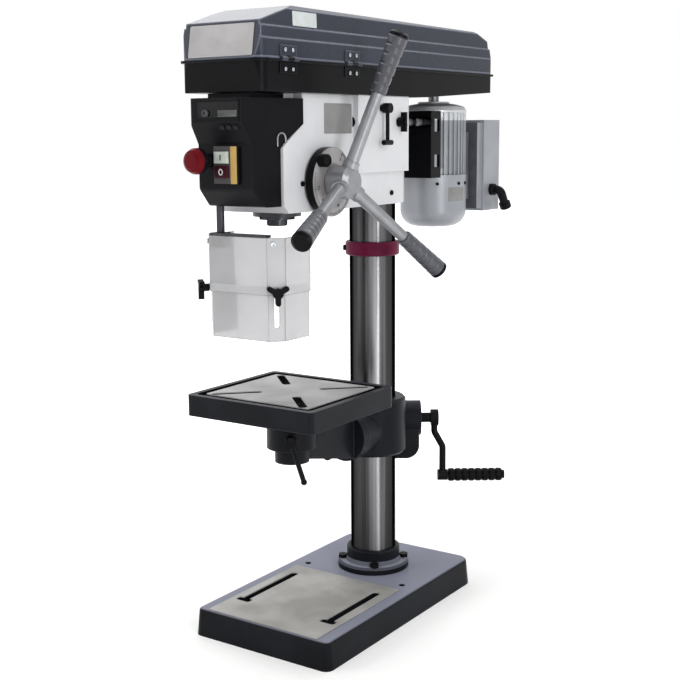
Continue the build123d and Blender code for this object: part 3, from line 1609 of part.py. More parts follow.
parts["motor_bearings"] = group(
    [
        bearing_ring(motor_y, bell_seat, bell_seat + motor_bearing_height, motor_bore_gap, motor_bearing),
        bearing_ring(
            motor_y, shield_seat, shield_seat + motor_bearing_height, motor_bore_gap, motor_bearing
        ),
    ]
)
fan_low = cowl_low + fan_low_gap
fan_high = motor_low - fan_high_gap
rotor = upright(0, motor_y, fan_low - fan_hub_wall, pulley_top + pulley_top_gap, motor_shaft)
rotor += upright(0, motor_y, stack_low, stack_high, stack_bore - rotor_gap)
rotor += upright(0, motor_y, fan_low, fan_high, motor_shaft + fan_hub_wall)
rotor += upright(0, motor_y, fan_high - fan_disc, fan_high, fan_radius)
for blade in range(fan_blades):
    blade_place = Pos(0, motor_y, 0) * Rot(0, 0, 360 / fan_blades * blade)
    rotor += blade_place * slab(motor_shaft, fan_radius, -fan_blade_half, fan_blade_half, fan_low, fan_high)
parts["motor_rotor"] = rotor
cowl_top = motor_low - 0.2


def cowl_outline(inset, top):
    line = Polyline(
        (cowl_radius - inset - cowl_round, cowl_low + inset), (0, cowl_low + inset), (0, top),
        (cowl_radius - inset, top), (cowl_radius - inset, cowl_low + inset + cowl_round),
    )
    corner = RadiusArc(
        (cowl_radius - inset, cowl_low + inset + cowl_round),
        (cowl_radius - inset - cowl_round, cowl_low + inset),
        cowl_round,
    )
    return make_face(line + corner)


cowl = revolve(Plane.XZ * cowl_outline(0, cowl_top), Axis.Z)
cowl -= revolve(Plane.XZ * cowl_outline(cowl_wall, cowl_top + 1), Axis.Z)
slit_plan = SlotOverall(cowl_slit_length, cowl_slit_width)
for slit in range(cowl_slits):
    slit_place = Rot(0, 0, 360 / cowl_slits * slit) * Pos(cowl_slit_place, 0)
    cowl -= plan_solid(slit_place * slit_plan, cowl_low - 1, cowl_low + cowl_wall + 1)
parts["fan_cowl"] = Pos(0, motor_y, 0) * cowl

# Terminal box behind the motor, with its cable gland
box_seam = terminal_front + terminal_strip
strip_half = terminal_half - terminal_inset
terminal = slab(
    -strip_half, strip_half, terminal_front, box_seam + 1,
    terminal_low + terminal_inset, terminal_high - terminal_inset,
)
terminal += slab(-terminal_half, terminal_half, box_seam, terminal_rear, terminal_low, terminal_high)
terminal = fillet(terminal.faces().sort_by(Axis.Y)[-1].edges(), 4)
terminal -= slab(
    -strip_half + terminal_wall, strip_half - terminal_wall,
    terminal_front + terminal_wall, terminal_rear - terminal_wall,
    terminal_low + terminal_inset + terminal_wall, terminal_high - terminal_inset - terminal_wall,
)
terminal -= along_x(strip_half - 9, terminal_half + 1, gland_y, gland_z, gland_radius + seat_gap)
parts["terminal_box"] = terminal
gland_path = FilletPolyline(
    (strip_half - terminal_wall - 4, gland_y, gland_z),
    (terminal_half + gland_reach, gland_y, gland_z),
    (terminal_half + 1.1 * gland_reach, gland_y + gland_back, gland_z - gland_fall),
    radius=gland_bend,
)
gland_section = Plane(origin=gland_path @ 0, z_dir=gland_path % 0) * Circle(gland_radius)
gland = sweep(gland_section, gland_path)
gland += along_x(terminal_half, terminal_half + gland_radius, gland_y, gland_z, gland_nut)
gland_tip = Plane(origin=gland_path @ 1, z_dir=gland_path % 1)
gland += gland_tip * Pos(0, 0, -gland_collar / 2) * Cylinder(gland_nut, gland_collar)
gland -= gland_tip * Cylinder(gland_bore, 4 * gland_collar)
parts["cable_gland"] = gland

# Belt tension lever and motor lock screw
lever = along_x(rod_offset - 10, lever_arm_x + lever_bar + 2, lever_y, lever_z, lever_shaft)
lever += slab(
    rod_offset - 4, rod_offset + 4, lever_y - lever_finger_width / 2, lever_y + lever_finger_width / 2,
    lever_z - lever_finger, lever_z,
)
lever += along_x(lever_arm_x - lever_bar - 4, lever_arm_x + lever_bar + 3, lever_y, lever_z, lever_shaft + 3)
lever += upright(lever_arm_x, lever_y, lever_z - lever_reach, lever_z, lever_bar)
lever += along_y(
    lever_y - lever_tee, lever_y + lever_tee, lever_arm_x, lever_z - lever_reach, lever_bar + 1
)
parts["tension_lever"] = lever
wing_end = box_half + wing_reach
wing = along_x(wing_tip, wing_end - 2, wing_y, rod_z, wing_screw)
wing += along_x(box_half + 1, wing_end - 4, wing_y, rod_z, wing_screw + 4)
wing += slab(
    wing_end - 10, wing_end, wing_y - 2.5, wing_y + 2.5, rod_z - wing_reach, rod_z + wing_reach
)
parts["motor_lock_screw"] = wing

# Guard post, clamp and screens
clamp_left = post_x - clamp_block_half
clamp_right = post_x + clamp_block_half
post = upright(post_x, post_y, post_bottom, post_lug_high + post_head_height, post_radius)
post += upright(post_x, post_y, post_lug_high, post_lug_high + post_head_height, post_head)
parts["guard_post"] = post


def screen_wall_plan(inset):
    half = screen_half - inset
    front = screen_front + inset
    bevel = screen_bevel - inset * (2 - math.sqrt(2))
    points = [
        (-half, screen_rear),
        (-half, front + bevel),
        (-half + bevel, front),
        (half - bevel, front),
        (half, front + bevel),
        (half, screen_rear),
    ]
    return points


def screen_ring(inset):
    outer = flat(*screen_wall_plan(inset))
    inner_points = screen_wall_plan(inset + screen_wall)
    inner_points[0] = (inner_points[0][0], screen_rear + 1)
    inner_points[-1] = (inner_points[-1][0], screen_rear + 1)
    return outer - flat(*inner_points)


lower_inset = screen_wall + screen_gap
bevel_x = screen_half - screen_bevel / 2
bevel_y = screen_front + screen_bevel / 2
upper = plan_solid(screen_ring(0), upper_low, upper_high)
lower = plan_solid(screen_ring(lower_inset), lower_low, lower_high)
for side in (-1, 1):
    bevel_plane = Plane(
        origin=(side * bevel_x, bevel_y, screen_bolt_z), x_dir=(1, side, 0), z_dir=(side, -1, 0)
    )
    upper -= bevel_plane * Cylinder(screen_bolt + run_gap, 4 * screen_wall)
    slot_plan = Pos(0, -screen_travel / 2) * SlotOverall(screen_travel + screen_slot, screen_slot, 90)
    lower -= extrude(bevel_plane * slot_plan, amount=4 * screen_wall, both=True)
    knob = bevel_plane * Pos(0, 0, guard_knob_stand / 2 + 0.3) * Cylinder(screen_bolt + 3, guard_knob_stand)
    lobes = Circle(guard_knob_hub)
    for lobe in range(3):
        arm = Rot(0, 0, 120 * lobe - 90) * Pos(guard_knob_reach / 2, 0)
        lobes += arm * SlotOverall(guard_knob_reach + 2 * guard_knob_lobe, 2 * guard_knob_lobe)
    knob += extrude(bevel_plane.offset(guard_knob_stand) * lobes, amount=guard_knob_thick)
    inner_reach = 2 * screen_wall + screen_gap + 4
    knob += bevel_plane * Pos(0, 0, -inner_reach / 2 + 1) * Cylinder(screen_bolt, inner_reach + 2)
    knob += bevel_plane * Pos(0, 0, -inner_reach + 1) * Cylinder(screen_bolt + 3, 2)
    parts["guard_knob_left" if side < 0 else "guard_knob_right"] = knob
parts["guard_upper"] = upper
parts["guard_lower"] = lower
clamp_front = screen_front + screen_wall
guard_clamp = slab(clamp_left, clamp_right, clamp_front, post_y + clamp_block_half, clamp_low, rail_high)
guard_clamp += slab(
    clamp_left, screen_half - screen_bevel, screen_front - 1, screen_front - 1 + rail_depth,
    upper_high, rail_high,
)
guard_clamp -= upright(post_x, post_y, clamp_low - 1, rail_high + 1, post_radius + seat_gap)
parts["guard_clamp"] = guard_clamp

os.makedirs("parts", exist_ok=True)
for name, shape in parts.items():
    export_step(shape, f"parts/{name}.step")
    print(name, round(shape.volume / 1000, 2))
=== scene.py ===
import math

import bpy
from mathutils import Matrix, Vector


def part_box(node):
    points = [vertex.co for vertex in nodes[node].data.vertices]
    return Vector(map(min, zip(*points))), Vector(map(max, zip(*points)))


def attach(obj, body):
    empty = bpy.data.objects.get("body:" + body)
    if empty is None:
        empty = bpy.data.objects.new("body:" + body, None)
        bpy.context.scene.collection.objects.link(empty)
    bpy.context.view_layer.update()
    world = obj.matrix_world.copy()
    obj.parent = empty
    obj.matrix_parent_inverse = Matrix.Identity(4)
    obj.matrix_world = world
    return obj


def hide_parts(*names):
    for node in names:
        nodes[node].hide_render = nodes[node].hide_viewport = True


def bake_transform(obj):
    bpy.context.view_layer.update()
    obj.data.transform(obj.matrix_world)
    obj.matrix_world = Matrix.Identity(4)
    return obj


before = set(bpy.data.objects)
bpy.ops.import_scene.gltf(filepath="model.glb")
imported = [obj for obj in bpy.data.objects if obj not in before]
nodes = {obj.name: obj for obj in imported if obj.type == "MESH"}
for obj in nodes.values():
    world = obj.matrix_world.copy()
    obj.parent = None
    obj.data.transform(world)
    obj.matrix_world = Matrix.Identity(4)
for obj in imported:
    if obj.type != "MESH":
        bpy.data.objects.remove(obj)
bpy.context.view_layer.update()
mm = 0.001
hair = 1e-6  # metres; points closer than this lie on one line
toRight, toFront, toBack, upright = (1, 0, 0), (0, -1, 0), (0, 1, 0), (0, 0, 1)
print("frame loaded:", len(nodes), "nodes")


def toLinear(colour):
    values = []
    for start in (1, 3, 5):
        share = int(colour[start:start + 2], 16) / 255
        values.append(share / 12.92 if share <= 0.04045 else ((share + 0.055) / 1.055) ** 2.4)
    return (*values, 1.0)


def addNode(tree, kind, settings={}, links={}):
    node = tree.nodes.new(kind)
    for key, value in settings.items():
        if isinstance(key, str) and hasattr(node, key):
            setattr(node, key, value)
        else:
            node.inputs[key].default_value = value
    for key, source in links.items():
        tree.links.new(source, node.inputs[key])
    return node


# Camera where the photograph was taken from: metres and degrees, focal length and centre in pixels
view = {"place": (1.13526, -1.76625, 0.82073), "yaw": 34.43, "pitch": 9.75, "roll": -0.45,
        "focal": 1204.29, "image": 680, "centre": 337.42, "sensor": 36, "reach": 50}


def makeCamera():
    yaw, pitch, roll = (math.radians(view[key]) for key in ("yaw", "pitch", "roll"))
    ahead = Vector((-math.sin(yaw) * math.cos(pitch), math.cos(yaw) * math.cos(pitch), -math.sin(pitch)))
    across = Vector((math.cos(yaw), math.sin(yaw), 0))
    above = across.cross(ahead)
    side = across * math.cos(roll) + above * math.sin(roll)
    top = above * math.cos(roll) - across * math.sin(roll)
    lens = bpy.data.cameras.new("photoLens")
    lens.sensor_width = view["sensor"]
    lens.lens = view["focal"] / view["image"] * view["sensor"]
    lens.shift_x = (view["image"] / 2 - view["centre"]) / view["image"]
    lens.clip_end = view["reach"]
    camera = bpy.data.objects.new("photoCamera", lens)
    bpy.context.scene.collection.objects.link(camera)
    turn = Matrix((side, top, -ahead)).transposed().to_4x4()
    camera.matrix_world = Matrix.Translation(view["place"]) @ turn
    bpy.context.scene.camera = camera


makeCamera()
print("camera set")

# Studio: white paper floor, white surround, soft boxes; sizes in metres
studio = {"floor": "#f4f4f3", "floorSize": 24, "floorRough": 0.9, "floorGloss": 0.1,
          "nearGlow": 0.20, "farGlow": 1.0, "near": 0.45, "far": 1.4, "white": (1, 1, 1, 1),
          "surround": 0.56, "sky": "#ffffff", "ground": "#b9b9bc", "riseLow": -0.35, "riseHigh": 0.5}
softBoxes = [  # name, place, aim, width, height, power
    ("keyBox", (2.12, -1.13, 1.15), (0, -0.1, 0.6), 0.30, 2.2, 24),
    ("topBox", (-0.3, 0.0, 2.6), (0, -0.1, 0.5), 1.8, 1.8, 28),
    ("fillBox", (-1.9, -2.3, 1.6), (0, -0.2, 0.6), 1.0, 1.6, 16),
    ("slopeBox", (-1.65, 1.45, 2.0), (0, -0.3, 0.98), 0.8, 0.6, 3),
    ("rearBox", (0.2, 2.4, 3.0), (0, 0, 0.7), 1.4, 1.0, 14),
]


def backdropRays(tree):  # the camera, glass and metal see the backdrop as white
    rays = addNode(tree, "ShaderNodeLightPath").outputs
    seen = addNode(tree, "ShaderNodeMath", {"operation": "MAXIMUM"},
                   {0: rays["Is Camera Ray"], 1: rays["Is Transmission Ray"]})
    seen = addNode(tree, "ShaderNodeMath", {"operation": "MAXIMUM"},
                   {0: seen.outputs[0], 1: rays["Is Glossy Ray"]})
    return seen.outputs[0]


def makeSurround():
    scene = bpy.context.scene
    scene.view_settings.view_transform = "Standard"
    scene.world = bpy.data.worlds.new("studioSurround")
    scene.world.use_nodes = True
    tree = scene.world.node_tree
    tree.nodes.clear()
    place = addNode(tree, "ShaderNodeTexCoord")
    height = addNode(tree, "ShaderNodeSeparateXYZ", {}, {0: place.outputs["Generated"]})
    rise = addNode(tree, "ShaderNodeMapRange",
                   {"From Min": studio["riseLow"], "From Max": studio["riseHigh"]},
                   {"Value": height.outputs["Z"]})
    wall = addNode(tree, "ShaderNodeMix",
                   {"data_type": "RGBA", 6: toLinear(studio["ground"]), 7: toLinear(studio["sky"])},
                   {0: rise.outputs[0]})
    soft = addNode(tree, "ShaderNodeBackground", {"Strength": studio["surround"]}, {"Color": wall.outputs[2]})
    plain = addNode(tree, "ShaderNodeBackground", {"Color": studio["white"], "Strength": 1.0})
    both = addNode(tree, "ShaderNodeMixShader", {},
                   {0: backdropRays(tree), 1: soft.outputs[0], 2: plain.outputs[0]})
    addNode(tree, "ShaderNodeOutputWorld", {}, {"Surface": both.outputs[0]})


def hangLamps():
    for name, place, aim, width, tall, power in softBoxes:
        lamp = bpy.data.lights.new(name, "AREA")
        lamp.shape = "RECTANGLE"
        lamp.size = width
        lamp.size_y = tall
        lamp.energy = power
        box = bpy.data.objects.new(name, lamp)
        bpy.context.scene.collection.objects.link(box)
        box.location = place
        box.rotation_euler = (Vector(aim) - Vector(place)).to_track_quat("-Z", "Y").to_euler()


def layFloor():
    bpy.ops.object.select_all(action="DESELECT")
    bpy.ops.mesh.primitive_plane_add(size=studio["floorSize"], location=(0, 0, 0))
    floor = bpy.context.object
    floor.name = "studioFloor"
    material = bpy.data.materials.new("matt paper floor")  # paper roll: even, no gloss
    material.use_nodes = True
    tree = material.node_tree
    shader = tree.nodes["Principled BSDF"]
    shader.inputs["Base Color"].default_value = toLinear(studio["floor"])
    shader.inputs["Roughness"].default_value = studio["floorRough"]
    shader.inputs["Specular IOR Level"].default_value = studio["floorGloss"]
    shader.inputs["Emission Color"].default_value = studio["white"]
    place = addNode(tree, "ShaderNodeTexCoord")
    away = addNode(tree, "ShaderNodeVectorMath", {"operation": "LENGTH"}, {0: place.outputs["Object"]})
    fade = addNode(tree, "ShaderNodeMapRange",
                   {"interpolation_type": "SMOOTHSTEP", "From Min": studio["near"], "From Max": studio["far"],
                    "To Min": studio["nearGlow"], "To Max": studio["farGlow"]},
                   {"Value": away.outputs["Value"]})
    glow = addNode(tree, "ShaderNodeMath", {"operation": "MULTIPLY"},
                   {0: backdropRays(tree), 1: fade.outputs[0]})
    tree.links.new(glow.outputs[0], shader.inputs["Emission Strength"])
    floor.data.materials.append(material)


makeSurround()
hangLamps()
layFloor()
print("studio lit")

# Finishes: every look starts from this one, sizes in millimetres
plainLook = {
    "colour": "#808080", "metal": 0.0, "rough": 0.4, "roughSpread": 0.06, "round": 1.0,
    "patchColour": None, "patch": 60, "patchDetail": 4.0, "stretch": (1, 1, 1), "shift": (0, 0, 0),
    "share": (0.36, 0.64),  # the noise values between which the patches fade in
    "grain": (1.0, 1.0, 1.0), "detail": 3.0, "grainRough": 0.55, "depth": 0.05, "grainTint": 0.0,
    "wear": 0.0, "wearColour": None, "wearBreak": True,
    "turn": (0.98, 0.86),  # how far a softened edge leans from its face where wear starts and is full
    "dustAndSheen": 0.0, "dustAndSheenColour": "#7b7e8c", "dustAndSheenFrom": 0.6,  # faces that look up get a pale film: dust, and painted reflection of the bright room on top faces
}
noiseSpan = (0.3, 0.7)  # most of a noise texture's values lie between these
bevelRays = 4  # samples of each softened edge


def finishParts(tree, look):
    look = {**plainLook, **look}
    colour = toLinear(look["colour"])
    patchColour = toLinear(look["patchColour"] or look["colour"])
    patchScale = [1 / (look["patch"] * mm * long) for long in look["stretch"]]
    grainScale = [1 / (size * mm) for size in look["grain"]]
    place = addNode(tree, "ShaderNodeTexCoord").outputs["Object"]
    spread = addNode(tree, "ShaderNodeMapping", {"Location": look["shift"], "Scale": patchScale},
                     {"Vector": place})
    patches = addNode(tree, "ShaderNodeTexNoise", {"Scale": 1.0, "Detail": look["patchDetail"]},
                      {"Vector": spread.outputs[0]})
    scaled = addNode(tree, "ShaderNodeMapping", {"Scale": grainScale}, {"Vector": place})
    grain = addNode(tree, "ShaderNodeTexNoise",
                    {"Scale": 1.0, "Detail": look["detail"], "Roughness": look["grainRough"]},
                    {"Vector": scaled.outputs[0]})
    rounded = addNode(tree, "ShaderNodeBevel", {"samples": bevelRays, "Radius": look["round"] * mm})
    share = addNode(tree, "ShaderNodeMapRange",
                    {"From Min": look["share"][0], "From Max": look["share"][1]},
                    {"Value": patches.outputs["Fac"]})
    tint = addNode(tree, "ShaderNodeMix", {"data_type": "RGBA", 6: colour, 7: patchColour},
                   {0: share.outputs[0]})
    if look["grainTint"]:
        shade = addNode(tree, "ShaderNodeMapRange",
                        {"From Min": noiseSpan[0], "From Max": noiseSpan[1],
                         "To Min": 1 - look["grainTint"], "To Max": 1.0},
                        {"Value": grain.outputs["Fac"]})
        tint = addNode(tree, "ShaderNodeMix", {"data_type": "RGBA", "blend_type": "MULTIPLY", 0: 1.0},
                       {6: tint.outputs[2], 7: shade.outputs[0]})
    # Paler edges: wear; on the enamels and the hood they also stand in as painted highlight along edges that
    # catch light
    if look["wear"]:
        surface = addNode(tree, "ShaderNodeNewGeometry")
        turn = addNode(tree, "ShaderNodeVectorMath", {"operation": "DOT_PRODUCT"},
                       {0: rounded.outputs[0], 1: surface.outputs["Normal"]})
        edge = addNode(tree, "ShaderNodeMapRange",
                       {"From Min": look["turn"][0], "From Max": look["turn"][1],
                        "To Min": 0.0, "To Max": look["wear"]},
                       {"Value": turn.outputs["Value"]})
        if look["wearBreak"]:
            edge = addNode(tree, "ShaderNodeMath", {"operation": "MULTIPLY"},
                           {0: edge.outputs[0], 1: patches.outputs["Fac"]})
        tint = addNode(tree, "ShaderNodeMix", {"data_type": "RGBA", 7: toLinear(look["wearColour"])},
                       {0: edge.outputs[0], 6: tint.outputs[2]})
    # Pale film on upward faces: partly dust, partly painted reflection and highlight standing in for the
    # light that top faces catch
    if look["dustAndSheen"]:
        surface = addNode(tree, "ShaderNodeNewGeometry")
        upward = addNode(tree, "ShaderNodeSeparateXYZ", {}, {0: surface.outputs["Normal"]})
        film = addNode(tree, "ShaderNodeMapRange",
                       {"From Min": look["dustAndSheenFrom"], "From Max": 1.0, "To Max": look["dustAndSheen"]},
                       {"Value": upward.outputs["Z"]})
        tint = addNode(tree, "ShaderNodeMix", {"data_type": "RGBA", 7: toLinear(look["dustAndSheenColour"])},
                       {0: film.outputs[0], 6: tint.outputs[2]})
    gloss = addNode(tree, "ShaderNodeMapRange",
                    {"From Min": noiseSpan[0], "From Max": noiseSpan[1],
                     "To Min": look["rough"] - look["roughSpread"],
                     "To Max": look["rough"] + look["roughSpread"]},
                    {"Value": grain.outputs["Fac"]})
    height = addNode(tree, "ShaderNodeMath", {"operation": "MULTIPLY", 1: look["depth"] * mm},
                     {0: grain.outputs["Fac"]})
    return {"colour": tint.outputs[2], "rough": gloss.outputs[0], "height": height.outputs[0],
            "normal": rounded.outputs[0], "metal": look["metal"]}


def zoneMask(tree, zone):  # 1 inside a box given in millimetres, 0 outside
    low, high = (Vector(zone[end]) * mm for end in ("low", "high"))
    place = addNode(tree, "ShaderNodeTexCoord").outputs["Object"]
    off = addNode(tree, "ShaderNodeVectorMath", {"operation": "SUBTRACT", 1: (low + high) / 2}, {0: place})
    size = addNode(tree, "ShaderNodeVectorMath", {"operation": "ABSOLUTE"}, {0: off.outputs[0]})
    over = addNode(tree, "ShaderNodeVectorMath", {"operation": "SUBTRACT", 1: (high - low) / 2},
                   {0: size.outputs[0]})
    each = addNode(tree, "ShaderNodeSeparateXYZ", {}, {0: over.outputs[0]})
    most = addNode(tree, "ShaderNodeMath", {"operation": "MAXIMUM"}, {0: each.outputs[0], 1: each.outputs[1]})
    most = addNode(tree, "ShaderNodeMath", {"operation": "MAXIMUM"}, {0: most.outputs[0], 1: each.outputs[2]})
    inside = addNode(tree, "ShaderNodeMath", {"operation": "LESS_THAN", 1: 0.0}, {0: most.outputs[0]})
    return inside.outputs[0]


def makeFinish(name, look, zones=(), sockets={}):
    material = bpy.data.materials.new(name)
    material.use_nodes = True
    tree = material.node_tree
    shader = tree.nodes["Principled BSDF"]
    parts = finishParts(tree, look)
    metal = None
    for zoneLook, zone in zones:
        other = finishParts(tree, zoneLook)
        mask = zoneMask(tree, zone)
        parts["colour"] = addNode(tree, "ShaderNodeMix", {"data_type": "RGBA"},
                                  {0: mask, 6: parts["colour"], 7: other["colour"]}).outputs[2]
        for key in ("rough", "height"):
            parts[key] = addNode(tree, "ShaderNodeMix", {},
                                 {0: mask, 2: parts[key], 3: other[key]}).outputs[0]
        if other["metal"] != parts["metal"]:
            metal = addNode(tree, "ShaderNodeMix", {2: parts["metal"], 3: other["metal"]},
                            {0: mask}).outputs[0]
    bump = addNode(tree, "ShaderNodeBump", {"Strength": 1.0, "Distance": 1.0},
                   {"Height": parts["height"], "Normal": parts["normal"]})
    tree.links.new(parts["colour"], shader.inputs["Base Color"])
    tree.links.new(parts["rough"], shader.inputs["Roughness"])
    tree.links.new(bump.outputs[0], shader.inputs["Normal"])
    shader.inputs["Metallic"].default_value = parts["metal"]
    if metal:
        tree.links.new(metal, shader.inputs["Metallic"])
    for key, value in sockets.items():
        shader.inputs[key].default_value = value
    return material


softGloss = {"Specular IOR Level": 0.07}  # dark paints and plastics mirror little of the white room
sheetGloss = {"Specular IOR Level": 0.15}  # powder coat on smooth sheet mirrors a little more
darkMetal = {"Specular Tint": toLinear("#7c7c7c")}  # steel that darkens towards its silhouette
# Ground round the axis: highlights run lengthwise
roundGround = {"Specular Tint": toLinear("#4a4a4a"), "Anisotropic": 0.9, "Anisotropic Rotation": 0.25}
scuffedSheet = {"Transmission Weight": 0.5, "IOR": 1.585}  # polycarbonate, half clear

# Stove enamel over sand-cast iron: dark blue grey, soft orange peel; paler edges are partly wear, partly
# painted highlight where edges catch light; upward faces get the pale film of dust and painted reflection
darkEnamel = {"colour": "#141519", "patchColour": "#1a1c21", "wearColour": "#6d717b", "wear": 0.6,
              "rough": 0.36, "roughSpread": 0.07, "grain": (2.2, 2.2, 2.2), "depth": 0.22, "patch": 90,
              "round": 2.2, "dustAndSheen": 0.8, "dustAndSheenColour": "#989bac"}
cleanEnamel = {**darkEnamel, "dustAndSheen": 0.0}
# Paler enamel with the film, on the flange's foot: painted light on the faces that catch it, and dust
dustAndSheenEnamel = {**darkEnamel, "colour": "#5d5f69", "patchColour": "#676974"}
# Table enamel: a faint pale film on upward faces, dust and painted reflection
tableEnamel = {**darkEnamel, "dustAndSheen": 0.12, "dustAndSheenColour": "#7b7e8c"}
# Surface-ground cast iron under a dull film: straight grinding lines, drawn coarser than real to show
groundIron = {"colour": "#bcbbb8", "patchColour": "#a5a39f", "metal": 0.4, "rough": 0.55, "roughSpread": 0.10,
              "grain": (0.7, 46, 0.7), "depth": 0.02, "patch": 70, "round": 0.8, "grainTint": 0.16}
tableGround = {**groundIron, "colour": "#bfbebf", "patchColour": "#a6a5a5"}
# Black primer left in the table's gutter: flat
gutterPrimer = {"colour": "#0d0d0f", "patchColour": "#141416", "rough": 0.6, "grain": (1.5, 1.5, 1.5),
                "depth": 0.1}
# Off-white two-part paint on the head casting: smooth, faint dust
whitePaint = {"colour": "#dfe0e3", "patchColour": "#d4d5d8", "wearColour": "#b9b8b4", "wear": 0.35,
              "rough": 0.34, "roughSpread": 0.05, "grain": (2.8, 2.8, 2.8), "depth": 0.10, "patch": 120,
              "round": 2.4}
# Ground and oiled tube: the pale lengthwise bands, placed by the shift, are painted highlight stripes
columnSteelPaintedBands = {"colour": "#424243", "patchColour": "#a9a9ad", "metal": 1.0, "rough": 0.30,
               "roughSpread": 0.05, "grain": (3.0, 3.0, 260), "depth": 0.01, "patch": 36,
               "stretch": (1, 1, 80), "shift": (3.3, 6.4, 0), "share": (0.5, 0.72),
               "round": 0.8, "grainTint": 0.3}
# Turned mild steel: fine rings
turnedSteel = {"colour": "#97989b", "patchColour": "#858689", "metal": 1.0, "rough": 0.40,
               "roughSpread": 0.07, "grain": (0.6, 18, 18), "depth": 0.015, "patch": 40,
               "round": 0.6, "grainTint": 0.15}
# Satin chrome on the feed handles: half mirror, half milky, so the side that faces up is the brighter one
satinChrome = {"colour": "#9a9b9f", "patchColour": "#8e8f93", "metal": 0.45, "rough": 0.32,
               "roughSpread": 0.06, "grain": (0.9, 0.9, 0.9), "depth": 0.01, "patch": 40,
               "round": 0.6, "grainTint": 0.1}
# Zinc-plated screws: bright, faintly blue
zincPlate = {"colour": "#c3c6cb", "patchColour": "#a9adb5", "metal": 1.0, "rough": 0.22, "roughSpread": 0.06,
             "grain": (0.5, 0.5, 0.5), "depth": 0.01, "patch": 10, "round": 0.4}
# Blackened steel levers and bolts: oil-black, a little bare at the edges
blackSteel = {"colour": "#0c0c0e", "patchColour": "#121215", "wearColour": "#5c5e62", "wear": 0.4,
              "rough": 0.42, "grain": (0.8, 0.8, 0.8), "depth": 0.03, "patch": 20, "round": 0.8}
# Anthracite powder coat on drawn sheet: fine dimples, glossy; the unbroken pale edges are partly wear, partly
# painted highlight on the steps and rim; the upward film is dust and painted highlight on the front slope
hoodCoat = {"colour": "#31353f", "patchColour": "#373b47", "wearColour": "#8d91a2", "wear": 0.9,
            "wearBreak": False, "rough": 0.30, "roughSpread": 0.05, "grain": (1.4, 1.4, 1.4), "depth": 0.05,
            "patch": 160, "round": 3.6, "turn": (0.997, 0.95), "dustAndSheen": 0.3}
hoodRimHighlight = {**hoodCoat, "colour": "#7d8191", "patchColour": "#6c7080"}  # the rolled rim painted bright: a painted highlight along the rim
hingeCoat = {**hoodCoat, "wear": 0.15}
# Black powder coat: satin
panCoat = {"colour": "#07070a", "patchColour": "#0c0d0f", "wearColour": "#54575e", "wear": 0.6, "rough": 0.36,
           "grain": (1.4, 1.4, 1.4), "depth": 0.05, "patch": 120, "round": 1.6}
# Moulded ABS with a spark-eroded texture: black covers, grey switch frame
blackAbs = {"colour": "#0c0c0f", "patchColour": "#111116", "wearColour": "#46474d", "wear": 0.5,
            "rough": 0.42, "grain": (0.9, 0.9, 0.9), "depth": 0.05, "patch": 80, "round": 1.8}
plainBlack = {**blackAbs, "wear": 0.0}
greyAbs = {"colour": "#4f4d4e", "patchColour": "#575556", "wearColour": "#7a7a7e", "wear": 0.5, "rough": 0.40,
           "grain": (0.9, 0.9, 0.9), "depth": 0.04, "patch": 20, "round": 0.8}
# Phenolic knobs: deep black, glossier
blackKnob = {"colour": "#08080a", "patchColour": "#0d0d10", "wearColour": "#3a3a3e", "wear": 0.5,
             "rough": 0.30, "grain": (0.7, 0.7, 0.7), "depth": 0.03, "patch": 15, "round": 1.0}
# Soft grey thermoplastic grips: dull, fine stipple
greyGrip = {"colour": "#4a4b52", "patchColour": "#3f4047", "wearColour": "#a3a5ae", "wear": 0.8,
            "rough": 0.36, "grain": (0.8, 0.8, 0.8), "depth": 0.06, "patch": 22, "round": 1.4}
# Signal-red moulded button
redAbs = {"colour": "#6d0c19", "patchColour": "#5c0914", "wearColour": "#a84a55", "wear": 0.4, "rough": 0.32,
          "grain": (0.7, 0.7, 0.7), "depth": 0.02, "patch": 15, "round": 1.2}
# Stop button in a browner red, start button pale green, switch base dull yellow
stopAbs = {**redAbs, "colour": "#3f1420", "patchColour": "#341019"}
paleAbs = {"colour": "#d5dcd2", "patchColour": "#c3cbc1", "rough": 0.34, "grain": (0.7, 0.7, 0.7),
           "depth": 0.02, "patch": 15}
yellowAbs = {"colour": "#d2b06c", "patchColour": "#c5a35f", "rough": 0.36, "grain": (0.7, 0.7, 0.7),
             "depth": 0.02, "patch": 20}
# Red enamel collar, a cool crimson
collarEnamel = {"colour": "#641838", "patchColour": "#54132d", "wearColour": "#a85a78", "wear": 0.5,
                "rough": 0.34, "grain": (1.6, 1.6, 1.6), "depth": 0.06, "patch": 30, "round": 1.2}
# Silver-grey machine paint on the motor; its bell painted paler, a painted light on the top of the motor that
# the pan shades
motorPaint = {"colour": "#9b9ea4", "patchColour": "#8f9298", "wearColour": "#dcdde0", "wear": 0.5,
              "metal": 0.15, "rough": 0.36, "grain": (1.4, 1.4, 1.4), "depth": 0.06, "patch": 70,
              "round": 1.4}
bellPaintedLight = {**motorPaint, "colour": "#d6d8db", "patchColour": "#cbcdd1"}
# Turned aluminium pulleys: bright, fine rings
turnedAlloy = {"colour": "#b9bbbd", "patchColour": "#a6a8ab", "metal": 1.0, "rough": 0.32,
               "roughSpread": 0.08, "grain": (14, 14, 0.7), "depth": 0.02, "patch": 30,
               "round": 0.6, "grainTint": 0.12}
# Brushed aluminium plate, left bare: soft sheen, level strokes
brushedPlate = {"colour": "#a3a0a1", "patchColour": "#979595", "metal": 0.3, "rough": 0.42,
                "roughSpread": 0.08, "grain": (30, 30, 0.5), "depth": 0.01, "patch": 40,
                "round": 0.3, "grainTint": 0.08}
